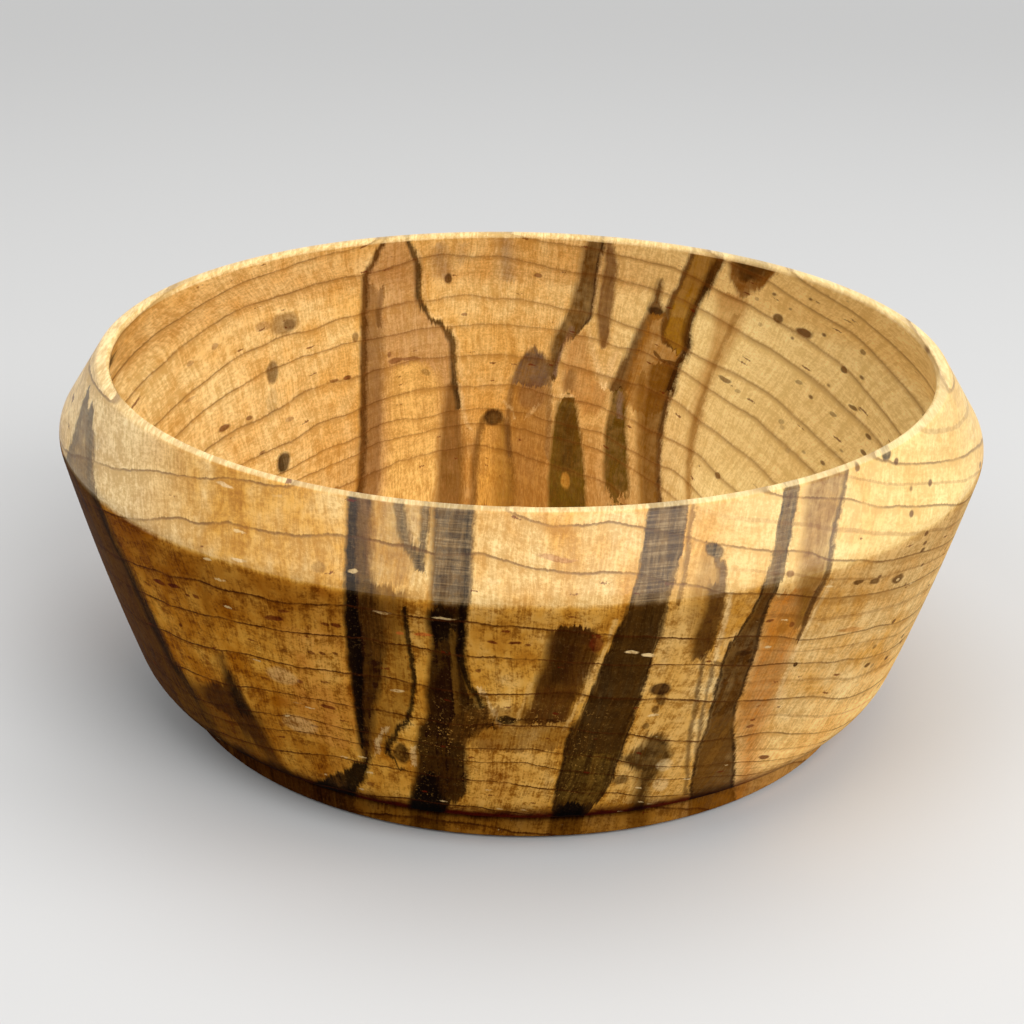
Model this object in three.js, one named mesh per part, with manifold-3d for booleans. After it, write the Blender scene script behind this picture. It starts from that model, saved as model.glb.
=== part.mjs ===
// A turned bead spinner. A maple bowl with an in-turned rim spins on a ball bearing over a low maple base.
// Millimetres, +Z up. The origin is on the turning axis, on the table that the pad rests on.

import * as THREE from "three";
import { mergeVertices } from "three/addons/utils/BufferGeometryUtils.js";
import Module from "manifold-3d";

const wasm = await Module();
wasm.setup();

// Facets round the axis.
const WIDE_FACETS = 60;
const HUB_FACETS = 30;
const FINE_FACETS = 20;
const BALL_FACETS = 12;
const BALL_RINGS = 6;

// Steps along a chamfer, a rounding or a curve of a profile.
const CHAMFER_STEPS = 1;
const EDGE_STEPS = 2;
const ROUND_STEPS = 4;
const CURVE_STEPS = 6;

// Fits and clearances.
const seatGap = 0.02; // between two faces that rest on each other
const pressGap = 0.04; // round a piece that is pressed or glued in
const runningGap = 0.6; // between the spinning bowl and the base
const overrun = 1; // how far a cutter reaches past the face that it cuts

// Cork pad under the base.
const padRadius = 50;
const padThickness = 1;
const padInset = 0.5;
const padRound = 0.2;

// Base: a flange that shows under the bowl, a plateau inside the bowl's recess and a boss at the middle.
const baseRadius = 56.4;
const flangeHeight = 3;
const flangeRound = 0.45;
const plateauRadius = 46;
const plateauRise = 2;
const plateauRound = 0.8;
const bossRadius = 8.4;
const bossRise = 2.5;
const bossRound = 0.4;

// Threaded insert in the boss.
const insertRadius = 4;
const insertLength = 6;
const insertRound = 0.3;
const insertGrooveDepth = 0.4;
const insertGrooveWidth = 1.2;

// Flanged bush that carries the bearing's bore on the screw.
const bushFlangeRadius = 5.75;
const bushFlangeHeight = 1.2;
const bushBoreGap = 0.1;
const bushShortfall = 0.25; // the bush stops below the ring's top face, so that the washer clamps the ring
const bushRound = 0.2;

// Ball bearing, 8 mm bore, 22 mm outside and 7 mm wide.
const bearingBore = 8;
const bearingOutside = 22;
const bearingWidth = 7;
const innerLandRadius = 6.05;
const outerLandRadius = 9;
const ringRound = 0.3;
const ballCount = 7;
const ballRadius = 1.95;
const raceGap = 0.05;
const raceConformity = 1.06; // the race's section radius as a multiple of the ball's
const shieldSeatRadius = 9.6;
const shieldSeatDepth = 0.8;
const shieldThickness = 0.3;
const shieldInset = 0.35;
const shieldGap = 0.3;
const cageThickness = 0.7;
const cageHeight = 4.7;
const pocketGap = 0.08;

// Clamp washer and button-head screw.
const screwRadius = 2.48;
const washerRadius = 5.75;
const washerThickness = 1;
const washerBoreGap = 0.17;
const washerRound = 0.15;
const headRadius = 4.75;
const headHeight = 2.75;
const headRim = 0.5;
const socketAcross = 3;
const socketDepth = 1.5;
const screwLength = 14;
const screwChamfer = 0.5;

// Bowl, outside. Heights are above its own underside.
const rimHeight = 52.3;
const rimRadius = 66.9;
const rimWidth = 2.3;
const rimOuterRound = 0.9;
const rimInnerRound = 0.7;
const bellyRadius = 73.35; // at the corner, before its rounding
const bellyHeight = 42.1;
const bellyRound = 4;
const kneeRadius = 68.4; // where the two tangents of the bowed side meet
const kneeHeight = 21.8;
const heelRadius = 61; // at the lower corner, before its rounding
const heelRound = 10;

// Bowl, inside.
const bellyWall = 6.2;
const kneeWall = 5.6;
const innerBellyRound = 7;
const floorThickness = 4;
const channelRadius = 57; // at the foot of the inside wall, before the cove
const coveRound = 13;
const hubFootRadius = 21;
const hubFootRound = 9;
const hubTopRadius = 13;
const hubTopRound = 1.6;
const recessGap = 0.8;
const recessRound = 0.5;

// Finger knob on the hub.
const tenonRadius = 8;
const tenonRoom = 0.5; // between the tenon's lower end and the washer
const tenonWall = 2.2;
const headRoom = 0.6; // over the screw's head
const capThickness = 0.5; // wood between the hollow and the knob's foot
const knobFootRadius = 8.6;
const knobFootHeight = 0.7;
const knobWaistRadius = 6.9;
const knobWaistHeight = 1.3;
const knobRadius = 8.5;
const knobWidestHeight = 2.4;
const knobHeight = 5;
const knobFootRound = 0.3;

// The stack on the axis, from the table up.
const baseBottom = padThickness - padInset;
const flangeTop = baseBottom + flangeHeight;
const plateauTop = flangeTop + plateauRise;
const bossTop = plateauTop + bossRise;
const bushBottom = bossTop + seatGap;
const bearingBottom = bushBottom + bushFlangeHeight + seatGap;
const bearingTop = bearingBottom + bearingWidth;
const bearingMiddle = (bearingBottom + bearingTop) / 2;
const washerBottom = bearingTop + seatGap;
const washerTop = washerBottom + washerThickness;
const headBottom = washerTop + seatGap;
const headTop = headBottom + headHeight;
const hubTop = headTop + headRoom + capThickness;
const knobBottom = hubTop + seatGap;

const bowlBottom = flangeTop + runningGap;
const recessRoof = plateauTop + runningGap;
const bowlFloor = recessRoof + floorThickness;
const recessRadius = plateauRadius + recessGap;
const hubSeatRadius = bearingOutside / 2 + pressGap;
const hubShoulder = bearingTop + seatGap;
const ballPitchRadius = (innerLandRadius + outerLandRadius) / 2;

// Profiles are lists of (radius, height) points.
const point = (radius, height) => new THREE.Vector2(radius, height);

// The arc that rounds the corner between two straight runs.
function rounding(before, corner, after, radius, steps) {
  const back = before.clone().sub(corner).normalize();
  const ahead = after.clone().sub(corner).normalize();
  const half = Math.acos(THREE.MathUtils.clamp(back.dot(ahead), -1, 1)) / 2;
  const centre = back.clone().add(ahead).normalize().multiplyScalar(radius / Math.sin(half)).add(corner);
  const first = back.multiplyScalar(radius / Math.tan(half)).add(corner).sub(centre);
  const last = ahead.multiplyScalar(radius / Math.tan(half)).add(corner).sub(centre);
  const turn = Math.atan2(first.x * last.y - first.y * last.x, first.dot(last));
  return Array.from({ length: steps + 1 }, (_, i) =>
    first.clone().rotateAround(point(0, 0), (turn * i) / steps).add(centre));
}

// A profile through corners of [radius, height, size, steps]. One step is a chamfer, more are a rounding.
function profile(corners) {
  const places = corners.map(([radius, height]) => point(radius, height));
  const count = corners.length;
  return corners.flatMap(([, , round, steps = CHAMFER_STEPS], i) =>
    round
      ? rounding(places[(i + count - 1) % count], places[i], places[(i + 1) % count], round, steps)
      : [places[i]]);
}

// A profile turned round the Z axis. A ring's profile closes on itself.
function turned(points, facets) {
  const closed = points[0].x > 0 || points.at(-1).x > 0;
  const outline = closed ? [...points, points[0].clone()] : points;
  return new THREE.LatheGeometry(outline, facets).rotateX(Math.PI / 2);
}

function solidOf(geometry) {
  const bare = geometry.clone().deleteAttribute("normal").deleteAttribute("uv");
  const merged = mergeVertices(bare);
  return new wasm.Manifold(new wasm.Mesh({
    numProp: 3,
    vertProperties: merged.attributes.position.array,
    triVerts: new Uint32Array(merged.index.array),
  }));
}

function geometryOf(solid) {
  const mesh = solid.getMesh();
  return new THREE.BufferGeometry()
    .setAttribute("position", new THREE.BufferAttribute(mesh.vertProperties, mesh.numProp))
    .setIndex(new THREE.BufferAttribute(mesh.triVerts, 1))
    .toNonIndexed();
}

const finishes = {
  maple: new THREE.MeshStandardMaterial({ color: 0xc99a5b, roughness: 0.45, metalness: 0 }),
  cork: new THREE.MeshStandardMaterial({ color: 0xb08858, roughness: 0.95, metalness: 0 }),
  brass: new THREE.MeshStandardMaterial({ color: 0xc9a24b, roughness: 0.35, metalness: 1 }),
  steel: new THREE.MeshStandardMaterial({ color: 0xc4c6c8, roughness: 0.25, metalness: 1 }),
  zinc: new THREE.MeshStandardMaterial({ color: 0x9ea3a8, roughness: 0.4, metalness: 1 }),
};

const spinner = new THREE.Group();

function add(name, geometry, finish) {
  geometry.computeVertexNormals();
  const mesh = new THREE.Mesh(geometry, finish);
  mesh.name = name;
  spinner.add(mesh);
  return mesh;
}

// Cork pad, a plain disc glued into the base.
function corkPad() {
  return turned([
    point(0, 0),
    ...profile([
      [0, 0],
      [padRadius, 0, padRound],
      [padRadius, padThickness, padRound],
      [0, padThickness],
    ]).slice(1, -1),
    point(0, padThickness),
  ], WIDE_FACETS);
}

// Base, recessed below for the pad and bored for the insert from above.
function base() {
  const padSeat = padThickness + seatGap;
  const padHoleRadius = padRadius + pressGap;
  const boreRadius = insertRadius + pressGap;
  const boreBottom = bossTop - insertLength - seatGap;
  return turned(profile([
    [0, padSeat],
    [padHoleRadius, padSeat],
    [padHoleRadius, baseBottom],
    [baseRadius, baseBottom, flangeRound, EDGE_STEPS],
    [baseRadius, flangeTop, flangeRound, EDGE_STEPS],
    [plateauRadius, flangeTop],
    [plateauRadius, plateauTop, plateauRound],
    [bossRadius, plateauTop],
    [bossRadius, bossTop, bossRound],
    [boreRadius, bossTop],
    [boreRadius, boreBottom],
    [0, boreBottom],
  ]), WIDE_FACETS);
}

// Threaded insert, grooved outside so that the wood grips it.
function threadedInsert() {
  const bottom = bossTop - insertLength;
  const grooveBottom = bottom + (insertLength - insertGrooveWidth) / 2;
  const grooveTop = grooveBottom + insertGrooveWidth;
  const grooveRadius = insertRadius - insertGrooveDepth;
  const boreRadius = screwRadius + seatGap;
  return turned(profile([
    [boreRadius, bottom],
    [insertRadius, bottom, insertRound],
    [insertRadius, grooveBottom],
    [grooveRadius, grooveBottom],
    [grooveRadius, grooveTop],
    [insertRadius, grooveTop],
    [insertRadius, bossTop],
    [boreRadius, bossTop],
  ]), FINE_FACETS);
}

// Flanged bush between the screw and the bearing's bore.
function pivotBush() {
  const boreRadius = screwRadius + bushBoreGap;
  const journalRadius = bearingBore / 2 - pressGap;
  const flangeTopFace = bushBottom + bushFlangeHeight;
  const top = bearingTop - bushShortfall;
  return turned(profile([
    [boreRadius, bushBottom],
    [bushFlangeRadius, bushBottom, bushRound],
    [bushFlangeRadius, flangeTopFace, bushRound],
    [journalRadius, flangeTopFace],
    [journalRadius, top, bushRound],
    [boreRadius, top],
  ]), FINE_FACETS);
}

// The race's section on one side of the balls: an arc centred on their pitch circle.
function race(landRadius, side) {
  const radius = ballRadius * raceConformity;
  const deepest = ballPitchRadius + side * (ballRadius + raceGap);
  const centre = deepest - side * radius;
  const reach = Math.acos(Math.abs(landRadius - centre) / radius);
  return Array.from({ length: ROUND_STEPS + 1 }, (_, i) => {
    const angle = reach * ((2 * i) / ROUND_STEPS - 1);
    return point(centre + side * radius * Math.cos(angle), bearingMiddle + side * radius * Math.sin(angle));
  });
}

function bearingInnerRing() {
  const bore = bearingBore / 2;
  return turned([
    ...profile([
      [innerLandRadius, bearingTop, ringRound],
      [bore, bearingTop, ringRound],
      [bore, bearingBottom, ringRound],
      [innerLandRadius, bearingBottom, ringRound],
    ]),
    ...race(innerLandRadius, -1).reverse(),
  ], HUB_FACETS);
}

function bearingOuterRing() {
  const outside = bearingOutside / 2;
  const lowerSeat = bearingBottom + shieldSeatDepth;
  const upperSeat = bearingTop - shieldSeatDepth;
  return turned([
    ...profile([
      [outerLandRadius, lowerSeat],
      [shieldSeatRadius, lowerSeat],
      [shieldSeatRadius, bearingBottom],
      [outside, bearingBottom, ringRound],
      [outside, bearingTop, ringRound],
      [shieldSeatRadius, bearingTop],
      [shieldSeatRadius, upperSeat],
      [outerLandRadius, upperSeat],
    ]),
    ...race(outerLandRadius, 1).reverse(),
  ], HUB_FACETS);
}

// Pressed shield, seated in the outer ring and clear of the inner one.
function shield(bottom) {
  const inner = innerLandRadius + shieldGap;
  const outer = shieldSeatRadius - pressGap;
  return turned(profile([
    [inner, bottom],
    [outer, bottom],
    [outer, bottom + shieldThickness],
    [inner, bottom + shieldThickness],
  ]), HUB_FACETS);
}

function ballPlace(index) {
  const angle = (2 * Math.PI * index) / ballCount;
  const x = ballPitchRadius * Math.sin(angle);
  const y = -ballPitchRadius * Math.cos(angle);
  return new THREE.Vector3(x, y, bearingMiddle);
}

function ball(index) {
  const place = ballPlace(index);
  return new THREE.SphereGeometry(ballRadius, BALL_FACETS, BALL_RINGS).translate(place.x, place.y, place.z);
}

// Cage, a thin ring with a round pocket for each ball.
function ballCage() {
  const inner = ballPitchRadius - cageThickness / 2;
  const outer = ballPitchRadius + cageThickness / 2;
  const bottom = bearingMiddle - cageHeight / 2;
  const top = bearingMiddle + cageHeight / 2;
  let cage = solidOf(turned(profile([
    [inner, bottom],
    [outer, bottom],
    [outer, top],
    [inner, top],
  ]), HUB_FACETS));
  for (let index = 0; index < ballCount; index += 1) {
    const place = ballPlace(index);
    const pocket = new THREE.SphereGeometry(ballRadius + pocketGap, BALL_FACETS, BALL_RINGS);
    cage = cage.subtract(solidOf(pocket.translate(place.x, place.y, place.z)));
  }
  return geometryOf(cage);
}

function clampWasher() {
  const bore = screwRadius + washerBoreGap;
  return turned(profile([
    [bore, washerBottom],
    [washerRadius, washerBottom, washerRound],
    [washerRadius, washerTop, washerRound],
    [bore, washerTop],
  ]), FINE_FACETS);
}

// Button-head screw with a hexagon socket.
function pivotScrew() {
  const tip = headBottom - screwLength;
  const dome = new THREE.QuadraticBezierCurve(
    point(headRadius, headBottom + headRim),
    point(headRadius, headTop),
    point(socketAcross, headTop),
  );
  const blank = solidOf(turned([
    point(0, tip),
    point(screwRadius - screwChamfer, tip),
    point(screwRadius, tip + screwChamfer),
    point(screwRadius, headBottom),
    point(headRadius, headBottom),
    ...dome.getPoints(ROUND_STEPS),
    point(0, headTop),
  ], FINE_FACETS));
  const cutterHeight = socketDepth + overrun;
  const cutterRadius = socketAcross / Math.sqrt(3);
  const socket = new THREE.CylinderGeometry(cutterRadius, cutterRadius, cutterHeight, 6)
    .rotateX(Math.PI / 2)
    .translate(0, 0, headTop - socketDepth + cutterHeight / 2);
  return geometryOf(blank.subtract(solidOf(socket)));
}

// Bowl: a bowed side over a rounded heel, a rounded belly, a rim that leans in and a hub inside.
function bowl() {
  const belly = point(bellyRadius, bowlBottom + bellyHeight);
  const knee = point(kneeRadius, bowlBottom + kneeHeight);
  const heel = point(heelRadius, bowlBottom);
  const rimOuter = point(rimRadius, bowlBottom + rimHeight);
  const rimInner = point(rimRadius - rimWidth, rimOuter.y);
  const innerBelly = point(belly.x - bellyWall, belly.y);
  const innerKnee = point(knee.x - kneeWall, knee.y);
  const innerFoot = point(channelRadius, bowlFloor);
  const hubFoot = point(hubFootRadius, bowlFloor);
  const hubEdge = point(hubTopRadius, hubTop);
  const recessEdge = point(recessRadius, bowlBottom);
  const recessCorner = point(recessRadius, recessRoof);
  const seatMouth = point(hubSeatRadius, recessRoof);
  const boreTop = point(tenonRadius + pressGap, hubTop);

  const heelArc = rounding(recessEdge, heel, knee, heelRound, ROUND_STEPS);
  const bellyArc = rounding(knee, belly, rimOuter, bellyRound, ROUND_STEPS);
  const innerBellyArc = rounding(rimInner, innerBelly, innerKnee, innerBellyRound, ROUND_STEPS);
  const coveArc = rounding(innerKnee, innerFoot, hubFoot, coveRound, CURVE_STEPS);
  const side = new THREE.QuadraticBezierCurve(heelArc.at(-1), knee, bellyArc[0]);
  const innerSide = new THREE.QuadraticBezierCurve(innerBellyArc.at(-1), innerKnee, coveArc[0]);

  return turned([
    ...heelArc,
    ...side.getPoints(CURVE_STEPS).slice(1, -1),
    ...bellyArc,
    ...rounding(belly, rimOuter, rimInner, rimOuterRound, EDGE_STEPS),
    ...rounding(rimOuter, rimInner, innerBelly, rimInnerRound, EDGE_STEPS),
    ...innerBellyArc,
    ...innerSide.getPoints(CURVE_STEPS).slice(1, -1),
    ...coveArc,
    ...rounding(innerFoot, hubFoot, hubEdge, hubFootRound, ROUND_STEPS),
    ...rounding(hubFoot, hubEdge, boreTop, hubTopRound, EDGE_STEPS),
    boreTop,
    point(boreTop.x, hubShoulder),
    point(hubSeatRadius, hubShoulder),
    seatMouth,
    ...rounding(seatMouth, recessCorner, recessEdge, recessRound, CHAMFER_STEPS),
    recessEdge,
  ], WIDE_FACETS);
}

// Knob, glued into the hub by a hollow tenon that clears the screw's head.
function spindleKnob() {
  const tenonBottom = washerTop + tenonRoom;
  const hollowRadius = tenonRadius - tenonWall;
  const hollowTop = headTop + headRoom;
  const widest = point(knobRadius, knobBottom + knobWidestHeight);
  const waist = point(knobWaistRadius, knobBottom + knobWaistHeight);
  const shoulder = point(tenonRadius, knobBottom);
  const footCorner = point(knobFootRadius, knobBottom);
  const footEdge = point(knobFootRadius, knobBottom + knobFootHeight);
  const top = point(0, knobBottom + knobHeight);
  const flare = new THREE.QuadraticBezierCurve(waist, point(knobRadius, waist.y), widest);
  const dome = Array.from({ length: CURVE_STEPS }, (_, i) => {
    const angle = (Math.PI / 2) * ((i + 1) / CURVE_STEPS);
    return point(knobRadius * Math.cos(angle), widest.y + (top.y - widest.y) * Math.sin(angle));
  });
  dome.at(-1).x = 0;
  return turned([
    point(0, hollowTop),
    point(hollowRadius, hollowTop),
    point(hollowRadius, tenonBottom),
    point(tenonRadius, tenonBottom),
    shoulder,
    ...rounding(shoulder, footCorner, footEdge, knobFootRound, EDGE_STEPS),
    ...rounding(footCorner, footEdge, waist, knobFootRound, EDGE_STEPS),
    ...flare.getPoints(ROUND_STEPS),
    ...dome,
  ], HUB_FACETS);
}

add("cork_pad", corkPad(), finishes.cork);
add("base", base(), finishes.maple);
add("threaded_insert", threadedInsert(), finishes.brass);
add("pivot_bush", pivotBush(), finishes.steel);
add("bearing_inner_ring", bearingInnerRing(), finishes.steel);
add("clamp_washer", clampWasher(), finishes.zinc);
add("pivot_screw", pivotScrew(), finishes.zinc);
add("bearing_outer_ring", bearingOuterRing(), finishes.steel);
add("lower_shield", shield(bearingBottom + shieldInset), finishes.zinc);
add("upper_shield", shield(bearingTop - shieldInset - shieldThickness), finishes.zinc);
add("ball_cage", ballCage(), finishes.brass);
for (let index = 0; index < ballCount; index += 1) {
  add(`bearing_ball_${index + 1}`, ball(index), finishes.steel);
}
add("bowl", bowl(), finishes.maple);
add("spindle_knob", spindleKnob(), finishes.maple);

export default spinner;
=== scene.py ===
"""A turned bead spinner in streaked maple: the finished surfaces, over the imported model."""

from collections import namedtuple
from functools import partial, reduce
import math

import bpy
from mathutils import Matrix, Vector


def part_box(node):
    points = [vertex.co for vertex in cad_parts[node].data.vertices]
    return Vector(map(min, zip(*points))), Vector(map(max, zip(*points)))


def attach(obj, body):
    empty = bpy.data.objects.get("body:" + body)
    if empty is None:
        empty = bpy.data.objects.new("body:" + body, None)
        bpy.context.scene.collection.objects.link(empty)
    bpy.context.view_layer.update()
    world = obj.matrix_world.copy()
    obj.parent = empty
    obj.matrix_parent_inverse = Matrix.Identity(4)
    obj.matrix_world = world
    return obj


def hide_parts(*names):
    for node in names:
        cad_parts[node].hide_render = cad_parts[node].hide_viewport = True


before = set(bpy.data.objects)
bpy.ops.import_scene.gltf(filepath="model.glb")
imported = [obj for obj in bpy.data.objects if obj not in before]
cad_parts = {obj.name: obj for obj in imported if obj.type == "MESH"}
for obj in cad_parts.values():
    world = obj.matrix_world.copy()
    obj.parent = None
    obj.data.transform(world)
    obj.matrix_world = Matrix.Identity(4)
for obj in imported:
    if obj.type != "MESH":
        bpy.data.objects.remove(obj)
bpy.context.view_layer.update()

MM = 0.001

# Bowl, outside, in mm. Heights are above the table.
BOWL_BOTTOM = 4.1
RIM_HEIGHT = 56.4
RIM_RADIUS = 66.9
RIM_WIDTH = 2.3
RIM_OUTER_ROUND = 0.9
RIM_INNER_ROUND = 0.7
BELLY_RADIUS = 73.35
BELLY_HEIGHT = 46.2
BELLY_ROUND = 4.0
KNEE_RADIUS = 68.4
KNEE_HEIGHT = 25.9
HEEL_RADIUS = 61.0
HEEL_ROUND = 10.0

# Bowl, inside.
BELLY_WALL = 6.2
KNEE_WALL = 5.6
INNER_BELLY_ROUND = 7.0
BOWL_FLOOR = 10.1
CHANNEL_RADIUS = 57.0
COVE_ROUND = 13.0
HUB_FOOT_RADIUS = 21.0
HUB_FOOT_ROUND = 9.0
HUB_TOP = 21.13
HUB_TOP_RADIUS = 13.0
HUB_TOP_ROUND = 1.6
HUB_BORE_RADIUS = 8.04
HUB_SHOULDER = 16.26
BEARING_SEAT_RADIUS = 11.04
RECESS_ROOF = 6.1
RECESS_RADIUS = 46.8
RECESS_ROUND = 0.5

# Base and its pad.
BASE_BOTTOM = 0.5
BASE_RADIUS = 56.4
FLANGE_TOP = 3.5
FLANGE_ROUND = 0.45
PLATEAU_RADIUS = 46.0
PLATEAU_TOP = 5.5
PLATEAU_ROUND = 0.8
BOSS_RADIUS = 8.4
BOSS_TOP = 8.0
BOSS_ROUND = 0.4
INSERT_HOLE_RADIUS = 4.04
INSERT_HOLE_BOTTOM = 1.98
PAD_SEAT = 1.02
PAD_HOLE_RADIUS = 50.04
PAD_RADIUS = 50.0
PAD_TOP = 1.0
PAD_ROUND = 0.2

# Finger knob.
KNOB_BOTTOM = 21.15
TENON_RADIUS = 8.0
TENON_BOTTOM = 17.76
HOLLOW_RADIUS = 5.8
HOLLOW_TOP = 20.63
KNOB_FOOT_RADIUS = 8.6
KNOB_FOOT_HEIGHT = 0.7
KNOB_WAIST_RADIUS = 6.9
KNOB_WAIST_HEIGHT = 1.3
KNOB_RADIUS = 8.5
KNOB_WIDEST_HEIGHT = 2.4
KNOB_HEIGHT = 5.0
KNOB_FOOT_ROUND = 0.3

# Bearing balls, a little under their size, so that they run clear of the rings' facets.
BALL_RADIUS = 1.88
BALL_STEPS = 16

# Steps of the fine surfaces, and the longest straight run that is left unsplit.
TURNS = 256
SMALL_TURNS = 96
EDGE_STEPS = 6
ROUND_STEPS = 12
CURVE_STEPS = 24
BOWL_RUN = 2.0
BASE_RUN = 4.0
SHARP_ANGLE = math.radians(40)

# A profile is a list of corners: (radius, height), (radius, height, rounding, steps) or (radius, height, BOW, steps).
# The line between the corner before a BOW and the one after it bows towards it.
BOW = "bow"


def rounding(before, corner, after, radius, steps):
    """The arc that rounds the corner between two straight runs."""
    before, corner, after = Vector(before), Vector(corner), Vector(after)
    back = (before - corner).normalized()
    ahead = (after - corner).normalized()
    half = math.acos(max(-1.0, min(1.0, back.dot(ahead)))) / 2
    centre = corner + (back + ahead).normalized() * (radius / math.sin(half))
    first = corner + back * (radius / math.tan(half)) - centre
    last = corner + ahead * (radius / math.tan(half)) - centre
    turn = math.atan2(first.x * last.y - first.y * last.x, first.dot(last))
    return [centre + Matrix.Rotation(turn * i / steps, 2) @ first for i in range(steps + 1)]


def bow(start, pull, end, steps):
    """A quadratic curve from start to end, without its two end points."""
    shares = [i / steps for i in range(1, steps)]
    return [(1 - t) ** 2 * start + 2 * t * (1 - t) * pull + t ** 2 * end for t in shares]


def profile(corners):
    """The points of a closed profile."""
    runs = []
    for i, (radius, height, *shape) in enumerate(corners):
        if not shape or BOW in shape:
            runs.append([Vector((radius, height))])
        else:
            after = corners[(i + 1) % len(corners)]
            runs.append(rounding(corners[i - 1][:2], (radius, height), after[:2], *shape))
    for i, (_, _, *shape) in enumerate(corners):
        if BOW in shape:
            runs[i] = bow(runs[i - 1][-1], runs[i][0], runs[i + 1][0], shape[1])
    return [point for run in runs for point in run]


def split_long(points, longest):
    """The closed profile with its long straight runs split evenly."""
    out = []
    for here, there in zip(points, points[1:] + points[:1]):
        cuts = max(1, math.ceil((there - here).length / longest))
        out += [here.lerp(there, k / cuts) for k in range(cuts)]
    return out


def bowl_profile():
    points = profile([
        (HEEL_RADIUS, BOWL_BOTTOM, HEEL_ROUND, ROUND_STEPS),
        (KNEE_RADIUS, KNEE_HEIGHT, BOW, CURVE_STEPS),
        (BELLY_RADIUS, BELLY_HEIGHT, BELLY_ROUND, ROUND_STEPS),
        (RIM_RADIUS, RIM_HEIGHT, RIM_OUTER_ROUND, EDGE_STEPS),
        (RIM_RADIUS - RIM_WIDTH, RIM_HEIGHT, RIM_INNER_ROUND, EDGE_STEPS),
        (BELLY_RADIUS - BELLY_WALL, BELLY_HEIGHT, INNER_BELLY_ROUND, ROUND_STEPS),
        (KNEE_RADIUS - KNEE_WALL, KNEE_HEIGHT, BOW, CURVE_STEPS),
        (CHANNEL_RADIUS, BOWL_FLOOR, COVE_ROUND, ROUND_STEPS),
        (HUB_FOOT_RADIUS, BOWL_FLOOR, HUB_FOOT_ROUND, ROUND_STEPS),
        (HUB_TOP_RADIUS, HUB_TOP, HUB_TOP_ROUND, EDGE_STEPS),
        (HUB_BORE_RADIUS, HUB_TOP),
        (HUB_BORE_RADIUS, HUB_SHOULDER),
        (BEARING_SEAT_RADIUS, HUB_SHOULDER),
        (BEARING_SEAT_RADIUS, RECESS_ROOF),
        (RECESS_RADIUS, RECESS_ROOF, RECESS_ROUND, EDGE_STEPS),
        (RECESS_RADIUS, BOWL_BOTTOM),
    ])
    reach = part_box("bowl")[1].x / MM
    return [Vector((min(p.x, reach), p.y)) for p in split_long(points, BOWL_RUN)]


def base_profile():
    return split_long(profile([
        (0, PAD_SEAT),
        (PAD_HOLE_RADIUS, PAD_SEAT),
        (PAD_HOLE_RADIUS, BASE_BOTTOM),
        (BASE_RADIUS, BASE_BOTTOM, FLANGE_ROUND, EDGE_STEPS),
        (BASE_RADIUS, FLANGE_TOP, FLANGE_ROUND, EDGE_STEPS),
        (PLATEAU_RADIUS, FLANGE_TOP),
        (PLATEAU_RADIUS, PLATEAU_TOP, PLATEAU_ROUND, EDGE_STEPS),
        (BOSS_RADIUS, PLATEAU_TOP),
        (BOSS_RADIUS, BOSS_TOP, BOSS_ROUND, EDGE_STEPS),
        (INSERT_HOLE_RADIUS, BOSS_TOP),
        (INSERT_HOLE_RADIUS, INSERT_HOLE_BOTTOM),
        (0, INSERT_HOLE_BOTTOM),
    ]), BASE_RUN)


def pad_profile():
    return profile([
        (0, 0),
        (PAD_RADIUS, 0, PAD_ROUND, EDGE_STEPS),
        (PAD_RADIUS, PAD_TOP, PAD_ROUND, EDGE_STEPS),
        (0, PAD_TOP),
    ])


def knob_profile():
    waist = KNOB_BOTTOM + KNOB_WAIST_HEIGHT
    widest = KNOB_BOTTOM + KNOB_WIDEST_HEIGHT
    rise = KNOB_HEIGHT - KNOB_WIDEST_HEIGHT
    angles = [math.pi / 2 * (k + 1) / CURVE_STEPS for k in range(CURVE_STEPS - 1)]
    return profile([
        (0, HOLLOW_TOP),
        (HOLLOW_RADIUS, HOLLOW_TOP),
        (HOLLOW_RADIUS, TENON_BOTTOM),
        (TENON_RADIUS, TENON_BOTTOM),
        (TENON_RADIUS, KNOB_BOTTOM),
        (KNOB_FOOT_RADIUS, KNOB_BOTTOM, KNOB_FOOT_ROUND, EDGE_STEPS),
        (KNOB_FOOT_RADIUS, KNOB_BOTTOM + KNOB_FOOT_HEIGHT, KNOB_FOOT_ROUND, EDGE_STEPS),
        (KNOB_WAIST_RADIUS, waist),
        (KNOB_RADIUS, waist, BOW, ROUND_STEPS),
        (KNOB_RADIUS, widest),
        *[(KNOB_RADIUS * math.cos(a), widest + rise * math.sin(a)) for a in angles],
        (0, KNOB_BOTTOM + KNOB_HEIGHT),
    ])


def ball_profile():
    angles = [math.pi * i / BALL_STEPS for i in range(BALL_STEPS + 1)]
    return [(BALL_RADIUS * math.sin(a), -BALL_RADIUS * math.cos(a)) for a in angles]


def add_object(name, data):
    thing = bpy.data.objects.new(name, data)
    bpy.context.scene.collection.objects.link(thing)
    return thing


def add_mesh(name, verts, faces):
    mesh = bpy.data.meshes.new(name)
    mesh.from_pydata(verts, [], faces)
    return add_object(name, mesh)


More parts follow.
